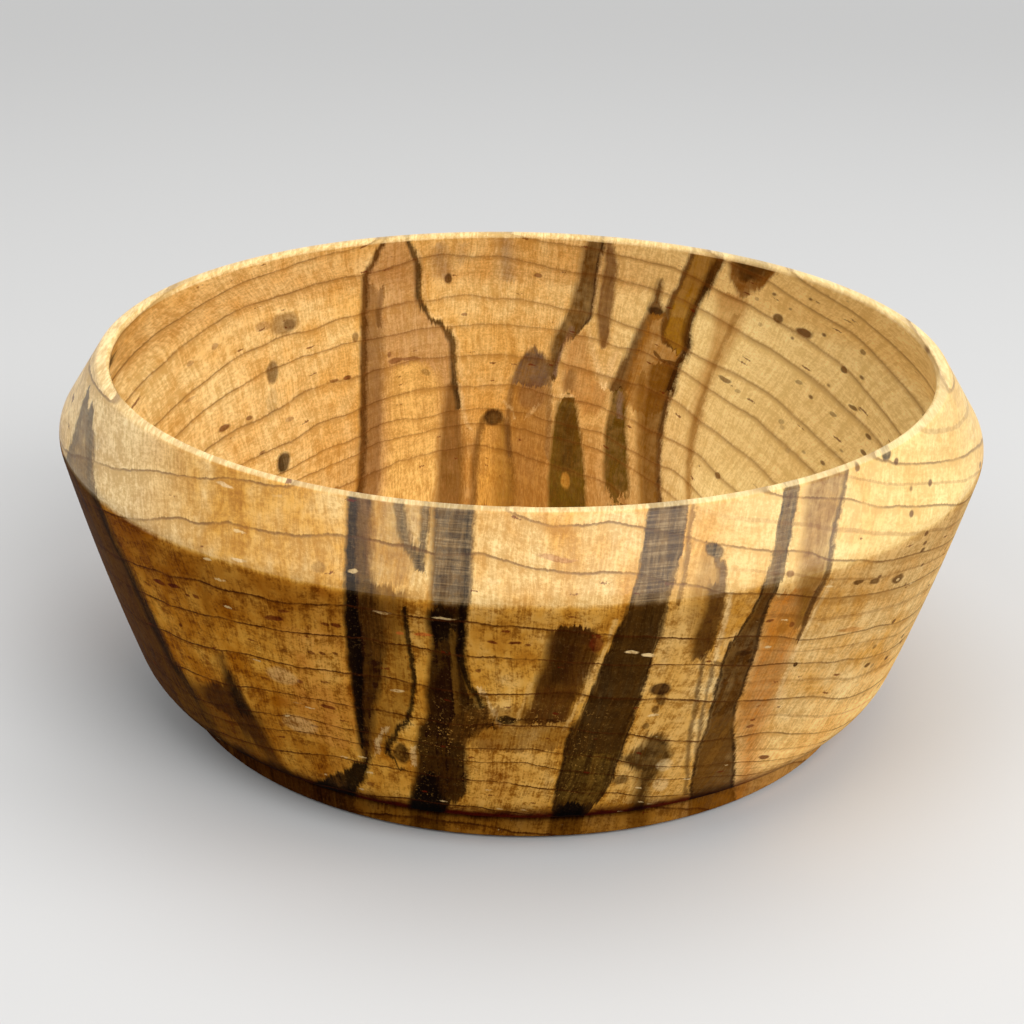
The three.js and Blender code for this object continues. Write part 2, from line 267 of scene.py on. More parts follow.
def turned(name, points, turns):
    """A closed profile turned round the Z axis. Points on the axis make poles."""
    verts, faces, rows = [], [], []
    for radius, height in points:
        if radius < 1e-6:
            rows.append([len(verts)] * turns)
            verts.append((0, 0, height * MM))
            continue
        rows.append(range(len(verts), len(verts) + turns))
        for k in range(turns):
            angle = 2 * math.pi * k / turns
            verts.append((radius * math.cos(angle) * MM, radius * math.sin(angle) * MM, height * MM))
    for low, high in zip(rows, rows[1:] + rows[:1]):
        for k in range(turns):
            after = (k + 1) % turns
            corners = list(dict.fromkeys([low[k], low[after], high[after], high[k]]))
            if len(corners) > 2:
                faces.append(corners)
    piece = add_mesh(name, verts, faces)
    piece.data.validate()
    piece.data.update()
    piece.data.shade_smooth()
    piece.data.set_sharp_from_angle(angle=SHARP_ANGLE)
    return piece


class Graph:
    """Short calls that add nodes to one node tree. Each takes sockets or plain values, and most return a socket."""

    def __init__(self, tree):
        self.tree = tree
        tree.nodes.clear()

    def put(self, socket, value):
        if isinstance(value, bpy.types.NodeSocket):
            self.tree.links.new(value, socket)
        elif socket.type == "RGBA" and len(value) == 3:
            socket.default_value = (*value, 1)
        else:
            socket.default_value = value

    def node(self, kind, *values, given=None, **settings):
        """A node. Values go to its first inputs, and those in given to inputs by name or number."""
        node = self.tree.nodes.new("ShaderNode" + kind)
        for key, value in settings.items():
            setattr(node, key, value)
        for socket, value in zip(node.inputs, values):
            self.put(socket, value)
        for place, value in (given or {}).items():
            self.put(node.inputs[place], value)
        return node

    def math(self, operation, *values, clamp=False):
        return self.node("Math", *values, operation=operation, use_clamp=clamp).outputs[0]

    def add(self, *values):
        return reduce(partial(self.math, "ADD"), values)

    def times(self, *values):
        return reduce(partial(self.math, "MULTIPLY"), values)

    def ramp(self, value, gain, start, clamp=False):
        """The value times gain, plus start."""
        return self.math("MULTIPLY_ADD", value, gain, start, clamp=clamp)

    def sway(self, value, width):
        """A value from 0 to 1 as one from half the width below 0 to half above it."""
        return self.ramp(value, width, -width / 2)

    def spread(self, value, gain):
        """The value stretched about one half, and kept within 0 and 1."""
        return self.ramp(value, gain, 0.5 - gain / 2, clamp=True)

    def step(self, value, low, high, to_low=0.0, to_high=1.0):
        """Smooth rise from to_low at low to to_high at high."""
        return self.node("MapRange", value, low, high, to_low, to_high, interpolation_type="SMOOTHSTEP").outputs[0]

    def fall(self, value, low, high):
        """Smooth fall from 1 at low to 0 at high."""
        return self.step(value, low, high, 1.0, 0.0)

    def distance(self, value, centre):
        return self.math("ABSOLUTE", self.add(value, -centre))

    def hypot(self, x, y):
        return self.math("SQRT", self.add(self.times(x, x), self.times(y, y)))

    def vector(self, x, y, z):
        return self.node("CombineXYZ", x, y, z).outputs[0]

    def split(self, vector):
        return self.node("SeparateXYZ", vector).outputs

    def scaled(self, places, factors):
        """A vector of three places, each times its factor."""
        return self.vector(*[f and (p if f == 1 else self.times(p, f)) for p, f in zip(places, factors)])

    def colour(self, factor, first, second, blend="MIX"):
        settings = {"data_type": "RGBA", "blend_type": blend, "clamp_factor": True}
        return self.node("Mix", given={0: factor, 6: first, 7: second}, **settings).outputs[2]

    def noise(self, vector, scale, detail, roughness=0.5):
        given = {"Vector": vector, "Scale": scale, "Detail": detail, "Roughness": roughness}
        return self.node("TexNoise", given=given).outputs

    def grain(self, places, factors, scale, detail, roughness, gain):
        """Noise in scaled places, stretched about one half."""
        return self.spread(self.noise(self.scaled(places, factors), scale, detail, roughness)[0], gain)

    def cells(self, vector, scale=1.0, feature="F1"):
        return self.node("TexVoronoi", given={"Vector": vector, "Scale": scale}, feature=feature).outputs

    def curve_node(self, places, handles="AUTO"):
        """A curve through places of (value, result), both from 0 to 1."""
        node = self.node("FloatCurve")
        line = node.mapping.curves[0]
        while len(line.points) < len(places):
            line.points.new(0.5, 0.5)
        for spot, place in zip(line.points, sorted(places)):
            spot.location = place
            spot.handle_type = handles
        node.mapping.use_clip = False
        node.mapping.update()
        return node

    def curve(self, value, points, low, high, out_low, out_high):
        """A smooth curve through (value, result) points, for values from low to high."""
        node = self.curve_node([((v - low) / (high - low), (r - out_low) / (out_high - out_low)) for v, r in points])
        self.put(node.inputs["Value"], self.ramp(value, 1 / (high - low), -low / (high - low)))
        return self.ramp(node.outputs[0], out_high - out_low, out_low)


class Layers:
    """A colour that takes one layer over another. A layer's covers are multiplied together."""

    def __init__(self, graph, colour):
        self.graph = graph
        self.colour = colour

    def lay(self, colour, *covers, blend="MIX"):
        self.colour = self.graph.colour(self.graph.times(*covers), self.colour, colour, blend)

    def shade(self, colour, *covers):
        self.lay(colour, *covers, blend="MULTIPLY")


# Heights of the materials' reliefs.
WOOD_RELIEF = 0.03 * MM
CORK_RELIEF = 0.12 * MM
METAL_RELIEF = 0.01 * MM


def new_material(name):
    material = bpy.data.materials.new(name)
    material.use_nodes = True
    return material, Graph(material.node_tree)


def srgb(red, green, blue):
    """A display colour, 0 to 255 a channel, as linear values."""
    return tuple((c / 255 / 12.92) if c <= 10 else ((c / 255 + 0.055) / 1.055) ** 2.4 for c in (red, green, blue))


def finish(graph, colour, roughness, bump, distance, metallic=0.0, specular=0.5):
    """Ends a material with a Principled surface and a bump."""
    given = {"Base Color": colour, "Roughness": roughness, "Metallic": metallic, "Specular IOR Level": specular}
    shader = graph.node("BsdfPrincipled", given=given, name="surface")
    relief = graph.node("Bump", given={"Strength": 1.0, "Distance": distance, "Height": bump})
    graph.put(shader.inputs["Normal"], relief.outputs[0])
    graph.node("OutputMaterial", shader.outputs[0])


def millimetres(graph):
    """The place on the piece in millimetres, as a vector."""
    place = graph.node("TexCoord").outputs["Object"]
    return graph.node("VectorMath", place, given={"Scale": 1 / MM}, operation="SCALE").outputs[0]


# The wood's figure, seen along the grain. Heights (z) and places across (x) are in mm. The near figure is on the
# half that faces the camera, the far one on the half behind it.

SOOT = srgb(12, 3, 1)
BLACK = srgb(36, 13, 3)
DARK = srgb(58, 24, 5)
UMBER = srgb(88, 50, 10)
OLIVE = srgb(146, 100, 32)
GOLD = srgb(214, 152, 62)
AMBER = srgb(192, 116, 34)
RUST = srgb(100, 30, 8)
TAN = srgb(198, 152, 98)
STONE = srgb(150, 122, 98)
CREAM = srgb(250, 214, 150)
STRAW = srgb(228, 178, 98)

# A filled strip. Rows are (z, left edge, right edge), from the top down. Left and right are its outlines' widths.
Streak = namedtuple("Streak", "colour strength vary soft rows left right line", defaults=(0.0, 0.0, BLACK))
# A line down the wood. Rows are (z, x), from the top down.
Stroke = namedtuple("Stroke", "colour width strength rows")
# A small ellipse: its middle, half width, half height, strength and turn.
Mark = namedtuple("Mark", "colour x z wide high strength turn", defaults=(0.0,))


def marks(colour, *rows):
    return [Mark(colour, *row) for row in rows]


NEAR = [
    # dark slab at the far left
    Streak(srgb(76, 42, 6), 0.93, 0.4, 0.6, [(53.6, -65.4, -64.4), (51.6, -66, -63), (48, -66.6, -61.4),
        (45.8, -68, -60.2), (44, -73, -59.4), (39.7, -73, -57.8), (36.4, -70, -56), (31.4, -69, -54.2),
        (25.5, -68, -52), (21.4, -67, -50.4), (17.4, -65, -47.8), (13, -63, -45.4), (0, -60, -42)], left=0.7, right=1.3,
        line=SOOT),
    # wedge low on the left, over a mottled patch
    Streak(srgb(104, 66, 16), 0.7, 1.1, 2.4, [(21, -45, -40), (17, -49, -36), (13, -51, -36), (8, -52, -36),
        (0, -52, -38)]),
    Streak(DARK, 0.78, 1, 0.9, [(28.8, -41.5, -40.8), (27, -41.7, -40.5), (25, -41.2, -39.8), (23, -41.6, -39.1),
        (21.4, -43.2, -38), (19.6, -45, -37), (17.6, -45.2, -36.2), (15, -39.8, -35.2), (12.6, -37.6, -34.2),
        (10, -36.2, -33.2), (7.6, -36.2, -31.5), (4, -37, -28), (0, -37, -28)]),
    Streak(SOOT, 0.8, 0.6, 0.9, [(25.4, -40.8, -39.8), (23.4, -41, -39.2), (21, -40.2, -38.4), (18, -39.2, -37.2)]),
    Streak(BLACK, 0.6, 0.8, 1, [(9.6, -41, -39.4), (6, -41, -38.6), (0, -41.4, -38)]),
    Streak(SOOT, 0.97, 0.1, 0.5, [(17.6, -20.5, -20), (15.6, -21.5, -20.3), (13.4, -23.4, -20.6), (11.6, -25.4, -21),
        (9.6, -27.2, -22), (7.4, -28.6, -22.4), (5, -29.4, -23), (0, -29.8, -23.6)]),
    # brighter wood before the first band
    Streak(srgb(220, 146, 66), 0.3, 1, 3, [(38, -30, -22.4), (28, -31, -22.2), (18, -28, -21.8)]),
    # first band: black left edge, dark middle, golden right half, thin line
    Streak(OLIVE, 0.6, 0.9, 0.8, [(46.4, -19.4, -14.5), (40, -19, -14.2), (32, -19.2, -13.9), (26, -19.8, -14.2),
        (20, -20, -18)]),
    Streak(srgb(44, 16, 3), 0.92, 0.6, 0.8, [(60, -22.2, -18.8), (50, -22, -19.2), (46, -22.2, -18.2),
        (42, -22.3, -17.5), (36, -22.2, -17.4), (30, -22, -18.2), (25, -21.6, -19.2), (17, -21.3, -20)]),
    Streak(srgb(104, 64, 16), 0.52, 1.1, 1.2, [(46.6, -19.4, -14.8), (43, -19.2, -15), (39, -19, -15.8),
        (36, -18.8, -17)]),
    Streak(SOOT, 0.97, 0.1, 0.35, [(60, -22.4, -21.2), (46, -22.5, -20.9), (40, -22.6, -20.5), (33, -22.4, -20.4),
        (26, -21.9, -20.6), (19, -21.4, -20.8)]),
    Stroke(SOOT, 0.6, 0.9, [(44.6, -14.7), (41, -14.5), (38, -14), (33, -13.8), (29, -13.9), (26.4, -14.2),
        (24.6, -14.7)]),
    # hook under the rim
    Streak(srgb(146, 98, 50), 0.4, 1.3, 2, [(60, -20.4, -11.6), (53, -20.4, -12.4), (48, -20, -14)]),
    Stroke(SOOT, 1.1, 0.9, [(60, -15.9), (56, -15.6), (53.6, -15), (52, -14.2), (50.6, -13.3), (49.2, -12.6)]),
    Stroke(SOOT, 0.9, 0.85, [(60, -11.9), (56, -12.3), (54, -12.3), (52, -12.5), (49.2, -12.7)]),
    Stroke(CREAM, 0.6, 0.5, [(55, -14), (53.4, -13.6), (52.4, -13)]),
    # second band, which forks low down
    Streak(srgb(34, 12, 2), 0.94, 0.4, 0.6, [(60, -11.6, -6.4), (50, -11.2, -6.5), (46.6, -11.3, -6.6),
        (43, -11.6, -6.8), (40, -11.4, -7), (36, -11.6, -7.2), (33, -11.9, -6.8), (30, -12, -5.6), (27.5, -12, -4.4),
        (25.6, -12.4, -3.4), (24, -13, -5), (20.5, -13.6, -6.6), (16, -13.6, -6.4), (12.5, -14.2, -6.4),
        (9.5, -14.6, -8.5), (5, -14.7, -10), (0, -14.6, -10)]),
    Streak(SOOT, 0.85, 0.4, 0.8, [(44.8, -11.6, -8.4), (42.5, -11.6, -8.2), (40.3, -11, -8.6)]),
    Streak(BLACK, 0.75, 0.8, 1.2, [(35, -10.2, -8.6), (30, -11.2, -8), (26, -11.4, -8.2), (23, -11.8, -9)]),
    Stroke(OLIVE, 0.6, 0.35, [(42, -8.4), (36, -8.3), (31, -8), (27, -7.6)]),
    Stroke(SOOT, 1.1, 0.95, [(60, -6.6), (50, -6.6), (46, -7), (42, -7.4), (38, -7.3), (35, -7), (33, -6.5),
        (31.4, -5.6), (29, -4.6), (27, -3.9), (25, -3.4)]),
    Stroke(CREAM, 0.5, 0.6, [(32.8, -5.2), (30.6, -4.2), (28.6, -3.3), (26.8, -2.7), (25.2, -2.1)]),
    Streak(SOOT, 0.96, 0.1, 0.7, [(15.4, -12.4, -10.8), (13, -13.6, -10.4), (10.6, -14.4, -10), (8, -14.9, -10),
        (4, -15, -10.2), (0, -14.8, -10.2)]),
    # curl beside the fork
    Stroke(SOOT, 0.9, 0.9, [(24.8, -14.4), (23.6, -15.4), (22, -16.4), (20, -17.3), (18.2, -17.5)]),
    Stroke(SOOT, 0.8, 0.85, [(19, -17.4), (17.2, -16.9), (15.8, -15.6)]),
    Stroke(CREAM, 0.6, 0.5, [(23.4, -17.4), (20.8, -18.6), (18, -19)]),
    Stroke(CREAM, 0.6, 0.5, [(20.6, -13.7), (18.4, -14.1), (16.4, -13.9)]),
    *marks(BLACK, (-15.6, 18.6, 1.1, 1.9, 0.8)),
    # pale panel and dark spot between the bands
    Streak(srgb(232, 176, 88), 0.35, 0.9, 1.2, [(22.4, -6.4, 5.8), (18, -6.2, 5.6), (12, -6, 5.4), (10, -5.8, 5.2)]),
    Streak(srgb(126, 78, 22), 0.55, 1.1, 1.6, [(28.6, -5, 6.6), (25.4, -8, 8.4), (22.6, -8, 8.6), (21.4, -7, 7.4)]),
    *marks(SOOT, (-1.4, 26.6, 1.4, 0.75, 0.9)),
    *marks(DARK, (3.4, 26.7, 4.4, 0.3, 0.7, 0.05)),
    # leaning patch with a cream edge
    Streak(srgb(80, 42, 8), 0.93, 0.6, 0.8, [(42.4, 4.4, 9.4), (40, 3.8, 10.2), (38.4, 3.6, 10.5), (36, 3, 9.7),
        (33, 2.3, 8.8), (30, 1.6, 7.8), (27.4, 0.8, 6.9), (26.4, 0.6, 6.3)]),
    Streak(BLACK, 0.6, 0.8, 1.8, [(42.2, 4.8, 8.8), (40, 4.4, 8.8), (36, 3.6, 7.6), (33, 3, 6)]),
    *marks(RUST, (10.1, 39.9, 0.9, 1.4, 0.75)),
    Stroke(STRAW, 0.5, 0.75, [(43.4, 12.4), (41, 11.9), (38.6, 11.1), (36, 10.1), (33, 9.2), (30, 8.3), (27, 7.3),
        (24.4, 6.4)]),
    Stroke(STRAW, 0.5, 0.6, [(34, 2), (31, 1.3), (28.6, 0.6), (27, 0.2)]),
    # main band, from the rim to the foot
    Streak(srgb(58, 34, 8), 0.97, 0.3, 0.5, [(60, 17, 21.7), (56.4, 16.6, 21.4), (52, 15.8, 20.6), (48, 14.9, 19.6),
        (46.4, 14.5, 19), (43, 13.4, 18.6), (40.4, 12.5, 18.4), (38.6, 12, 17.9), (36.6, 11.2, 17.4), (34, 10.6, 17),
        (31, 9.6, 16.5), (28, 8.7, 15.8), (25.5, 7.9, 15.4), (22, 7, 14.8), (19.4, 6.7, 14.3), (16, 6.3, 13.6),
        (12.6, 5.8, 12.8), (9.6, 5.6, 11), (8.4, 5.6, 9.9), (5, 5.6, 9.7), (0, 5.2, 9.4)], left=0.4, right=0.35),
    Streak(srgb(112, 82, 28), 0.44, 1.3, 1, [(20, 7.4, 14), (16, 6.6, 13.4), (11, 6, 12)]),
    Streak(SOOT, 0.95, 0.1, 0.8, [(10, 6, 9.8), (8, 5.7, 9.8), (4, 5.7, 9.6), (0, 5.6, 9)]),
    # painted glints: two cream marks on the band
    *marks(CREAM, (14.7, 38.1, 0.9, 0.28, 0.85, 0.1), (17, 37.3, 1, 0.28, 0.9, 0.3)),
    # light zone with its blot, and the mottled patch below
    Streak(srgb(226, 176, 96), 0.5, 0.7, 0.8, [(50, 20.4, 22.6), (44, 18.9, 23.2), (38, 18.1, 22.8), (34, 17.5, 23.4),
        (28, 16.4, 23.6), (22, 15.2, 23.8), (16, 14, 23.8), (10, 13, 23.8)]),
    *marks(DARK, (19.1, 31, 1.4, 1.1, 0.92), (19.2, 29.2, 0.7, 1.1, 0.65), (18.5, 27.4, 0.5, 0.7, 0.6)),
    *marks(CREAM, (18.3, 26.4, 0.8, 0.26, 0.8)),
    *marks(DARK, (17.4, 24.7, 0.5, 0.6, 0.6)),
    Streak(srgb(70, 44, 12), 0.9, 0.9, 0.9, [(22.6, 17.8, 19.6), (21, 17.2, 20.8), (19.6, 15.4, 21.4),
        (18.6, 14.6, 21.6), (17.4, 15.2, 21), (15.6, 16.8, 20.4), (13, 16.9, 19.4), (10.6, 16.7, 18.7),
        (8.6, 16.4, 18.8), (0, 16.8, 20)]),
    *marks(DARK, (14.6, 14.4, 1.1, 0.9, 0.65)),
    *marks(CREAM, (20.7, 16.4, 1.2, 1.2, 0.5), (20.4, 12.4, 1.1, 1.4, 0.45)),
    # arch and its strip
    Streak(OLIVE, 0.5, 0.7, 0.8, [(51.6, 24, 25.2), (49.4, 22.8, 26.1), (46, 22, 25.9), (40, 22.4, 25.5),
        (36.4, 22.8, 25)]),
    Stroke(DARK, 1, 0.8, [(51.8, 24.2), (50.6, 25.3), (49, 26.1), (46, 26), (43, 26), (40, 25.6), (37, 25.2)]),
    Streak(DARK, 0.8, 0.6, 0.6, [(47.6, 24.6, 26), (44, 24, 25.9), (41, 23.4, 25.5), (38, 22.8, 25.2),
        (36, 22.8, 24.8)]),
    *marks(SOOT, (25.1, 51.1, 1.3, 0.7, 0.85, 0.4)),
    Stroke(DARK, 0.6, 0.65, [(36.4, 24.6), (30, 24.3), (24, 24), (18, 23.9), (9, 24.4)]),
    Stroke(DARK, 0.5, 0.6, [(34.4, 26), (30, 25.7), (24, 25.2), (18, 25), (9, 25.2)]),
    Stroke(UMBER, 0.5, 0.55, [(60, 22.9), (54, 21.9), (50, 21.3), (45, 20.2)]),
    Stroke(CREAM, 0.6, 0.55, [(46.4, 27.2), (42, 27), (38, 26.4), (35, 26.3)]),
    *marks(DARK, (26.7, 34.3, 0.9, 0.3, 0.6, 0.5)),
    # orange zone, then the leaning blade over its edge
    Streak(AMBER, 0.72, 0.9, 1.8, [(44, 33, 39.6), (36, 31.8, 37.6), (28, 30.6, 36.6), (22, 30.2, 35.4),
        (18, 31.4, 34.6), (0, 32, 35)]),
    Streak(srgb(78, 44, 8), 0.93, 0.8, 0.6, [(60, 35.8, 37), (56.4, 35, 36.4), (52, 33.8, 35.5), (48, 32.6, 34.4),
        (45.6, 31.8, 33.5), (42, 30.5, 32.5), (39.6, 29.3, 32), (37, 28, 31.8), (34, 27.4, 31.5), (31, 27.1, 30.9),
        (28, 26.8, 30.4), (24.7, 26.4, 29.8), (21.4, 26, 29.8), (19, 25.5, 30.1), (16, 25.2, 30.6), (11.4, 25, 31),
        (8.8, 25.2, 31.2), (0, 26, 33)], left=0.3, right=0.4),
    Streak(srgb(124, 84, 32), 0.45, 1.2, 1, [(24, 26, 29.4), (16, 25.4, 30.2), (8, 25.4, 30.8)]),
    *marks(BLACK, (30.2, 35.3, 1.2, 0.5, 0.55), (31.2, 33.6, 0.5, 0.4, 0.6)),
    # pale brown zone with a thin right edge
    Streak(srgb(136, 92, 44), 0.68, 1.1, 0.9, [(60, 38, 44.8), (54, 37.6, 43), (50, 37, 41.8), (46.4, 36.6, 40.8),
        (42, 36.8, 39.6), (38, 36.8, 38.4)]),
    Streak(OLIVE, 0.65, 0.9, 0.9, [(46.8, 37, 39.6), (42, 37.2, 39.2), (38, 37.4, 38.8)]),
    Stroke(DARK, 0.6, 0.75, [(60, 44.8), (56.4, 43.8), (52, 42.5), (48, 41.3), (46, 40.9), (43, 39.8), (40, 38.9),
        (35, 37.8)]),
    Stroke(CREAM, 0.6, 0.45, [(44, 41.6), (40, 40), (36, 38.8), (31, 37.4), (25, 36.2)]),
    # red-brown flecks on the left
    *marks(RUST, (-50.1, 37.3, 1.1, 0.42, 0.9, -0.2), (-47.6, 38.1, 1, 0.4, 0.9, -0.2), (-45.6, 37.5, 0.4, 0.25, 0.8),
        (-44.3, 37.9, 0.5, 0.3, 0.8), (-52.4, 35.6, 0.6, 0.25, 0.6), (-38.6, 38.2, 0.9, 0.25, 0.5),
        (-32.5, 38.9, 1.4, 0.45, 0.85, -0.25), (-31, 40.6, 0.9, 0.3, 0.7, -0.2), (-25.4, 39.8, 0.6, 0.22, 0.7),
        (-23.9, 40, 0.8, 0.3, 0.85), (-24.2, 35.2, 0.4, 0.3, 0.7), (-26, 34.7, 0.5, 0.3, 0.7),
        (-27.6, 34.2, 0.5, 0.3, 0.7), (-31.4, 33.3, 0.5, 0.25, 0.5), (-47.4, 30.6, 0.35, 0.35, 0.75),
        (-46.7, 24.6, 0.35, 0.3, 0.7), (-29.4, 28.4, 0.5, 0.3, 0.75), (-34.6, 27.1, 0.8, 0.22, 0.6),
        (-25.8, 29.4, 0.6, 0.22, 0.6), (-25.7, 24.9, 1, 0.35, 0.85, -0.1), (-27.8, 20.5, 0.6, 0.25, 0.6),
        (-32.8, 19, 0.5, 0.5, 0.5), (-20.2, 11.2, 0.6, 0.5, 0.6)),
    # painted sheen and glints: soft cream patches on the left body, and cream specks on the facet
    *marks(CREAM, (-32, 28.6, 2.2, 1.4, 0.3), (-30, 20, 2.4, 1.6, 0.3), (-37, 46.8, 1.1, 0.22, 0.8),
        (-39.6, 54.4, 1.2, 0.24, 0.7), (-21.4, 48.4, 0.6, 0.25, 0.6)),
    *marks(UMBER, (-26, 48.2, 0.9, 0.6, 0.35), (-61.6, 51.4, 1.1, 0.8, 0.6)),
    # red-brown flecks at the middle
    *marks(RUST, (-3.4, 40.2, 0.7, 0.3, 0.85), (-0.5, 40.2, 0.9, 0.26, 0.85), (1.4, 39.9, 0.4, 0.22, 0.7),
        (-5.2, 35.2, 0.4, 0.35, 0.7)),
    *marks(srgb(200, 96, 40), (-12.4, 40.6, 1.2, 0.3, 0.7), (-15.4, 40.4, 0.5, 0.25, 0.6)),
    # painted glints: thin cream marks at the middle
    *marks(CREAM, (-9.6, 43.6, 1.4, 0.2, 0.55), (-17.6, 43.5, 1.2, 0.2, 0.5), (-16, 30.4, 0.9, 0.25, 0.6),
        (-3.2, 48.8, 0.9, 0.3, 0.5)),
    *marks(srgb(170, 104, 74), (4.6, 51.4, 2.6, 0.3, 0.5, 0.12)),
    # specks on the right
    *marks(RUST, (35.8, 12.8, 1, 0.42, 0.8, 0.5), (32.6, 20.6, 0.6, 0.3, 0.7), (33.2, 40, 0.6, 0.25, 0.7),
        (36.6, 38.4, 0.4, 0.5, 0.6)),
    *marks(DARK, (38.1, 30.4, 0.4, 0.38, 0.9)),
    *marks(RUST, (35.4, 46.8, 0.6, 0.4, 0.6)),
    *marks(UMBER, (46, 42.3, 0.9, 0.35, 0.8, 0.3), (48.8, 41, 0.9, 0.5, 0.8, 0.5), (53, 39.2, 1.1, 0.7, 0.8, 0.5)),
    *marks(CREAM, (53.1, 39.1, 0.35, 0.22, 0.9, 0.4)),
    *marks(UMBER, (56.9, 42.2, 0.45, 0.35, 0.8)),
    *marks(AMBER, (46.2, 33.4, 2.4, 0.4, 0.5, 0.4)),
    *marks(UMBER, (50.9, 23.2, 0.55, 0.45, 0.85, 0.4), (55.2, 20.8, 0.4, 0.35, 0.7)),
    *marks(CREAM, (38.3, 19.6, 0.6, 0.35, 0.6, 0.6)),
    # pinhole on the rim
    *marks(SOOT, (50.4, 56.3, 0.75, 0.7, 0.97)),
]

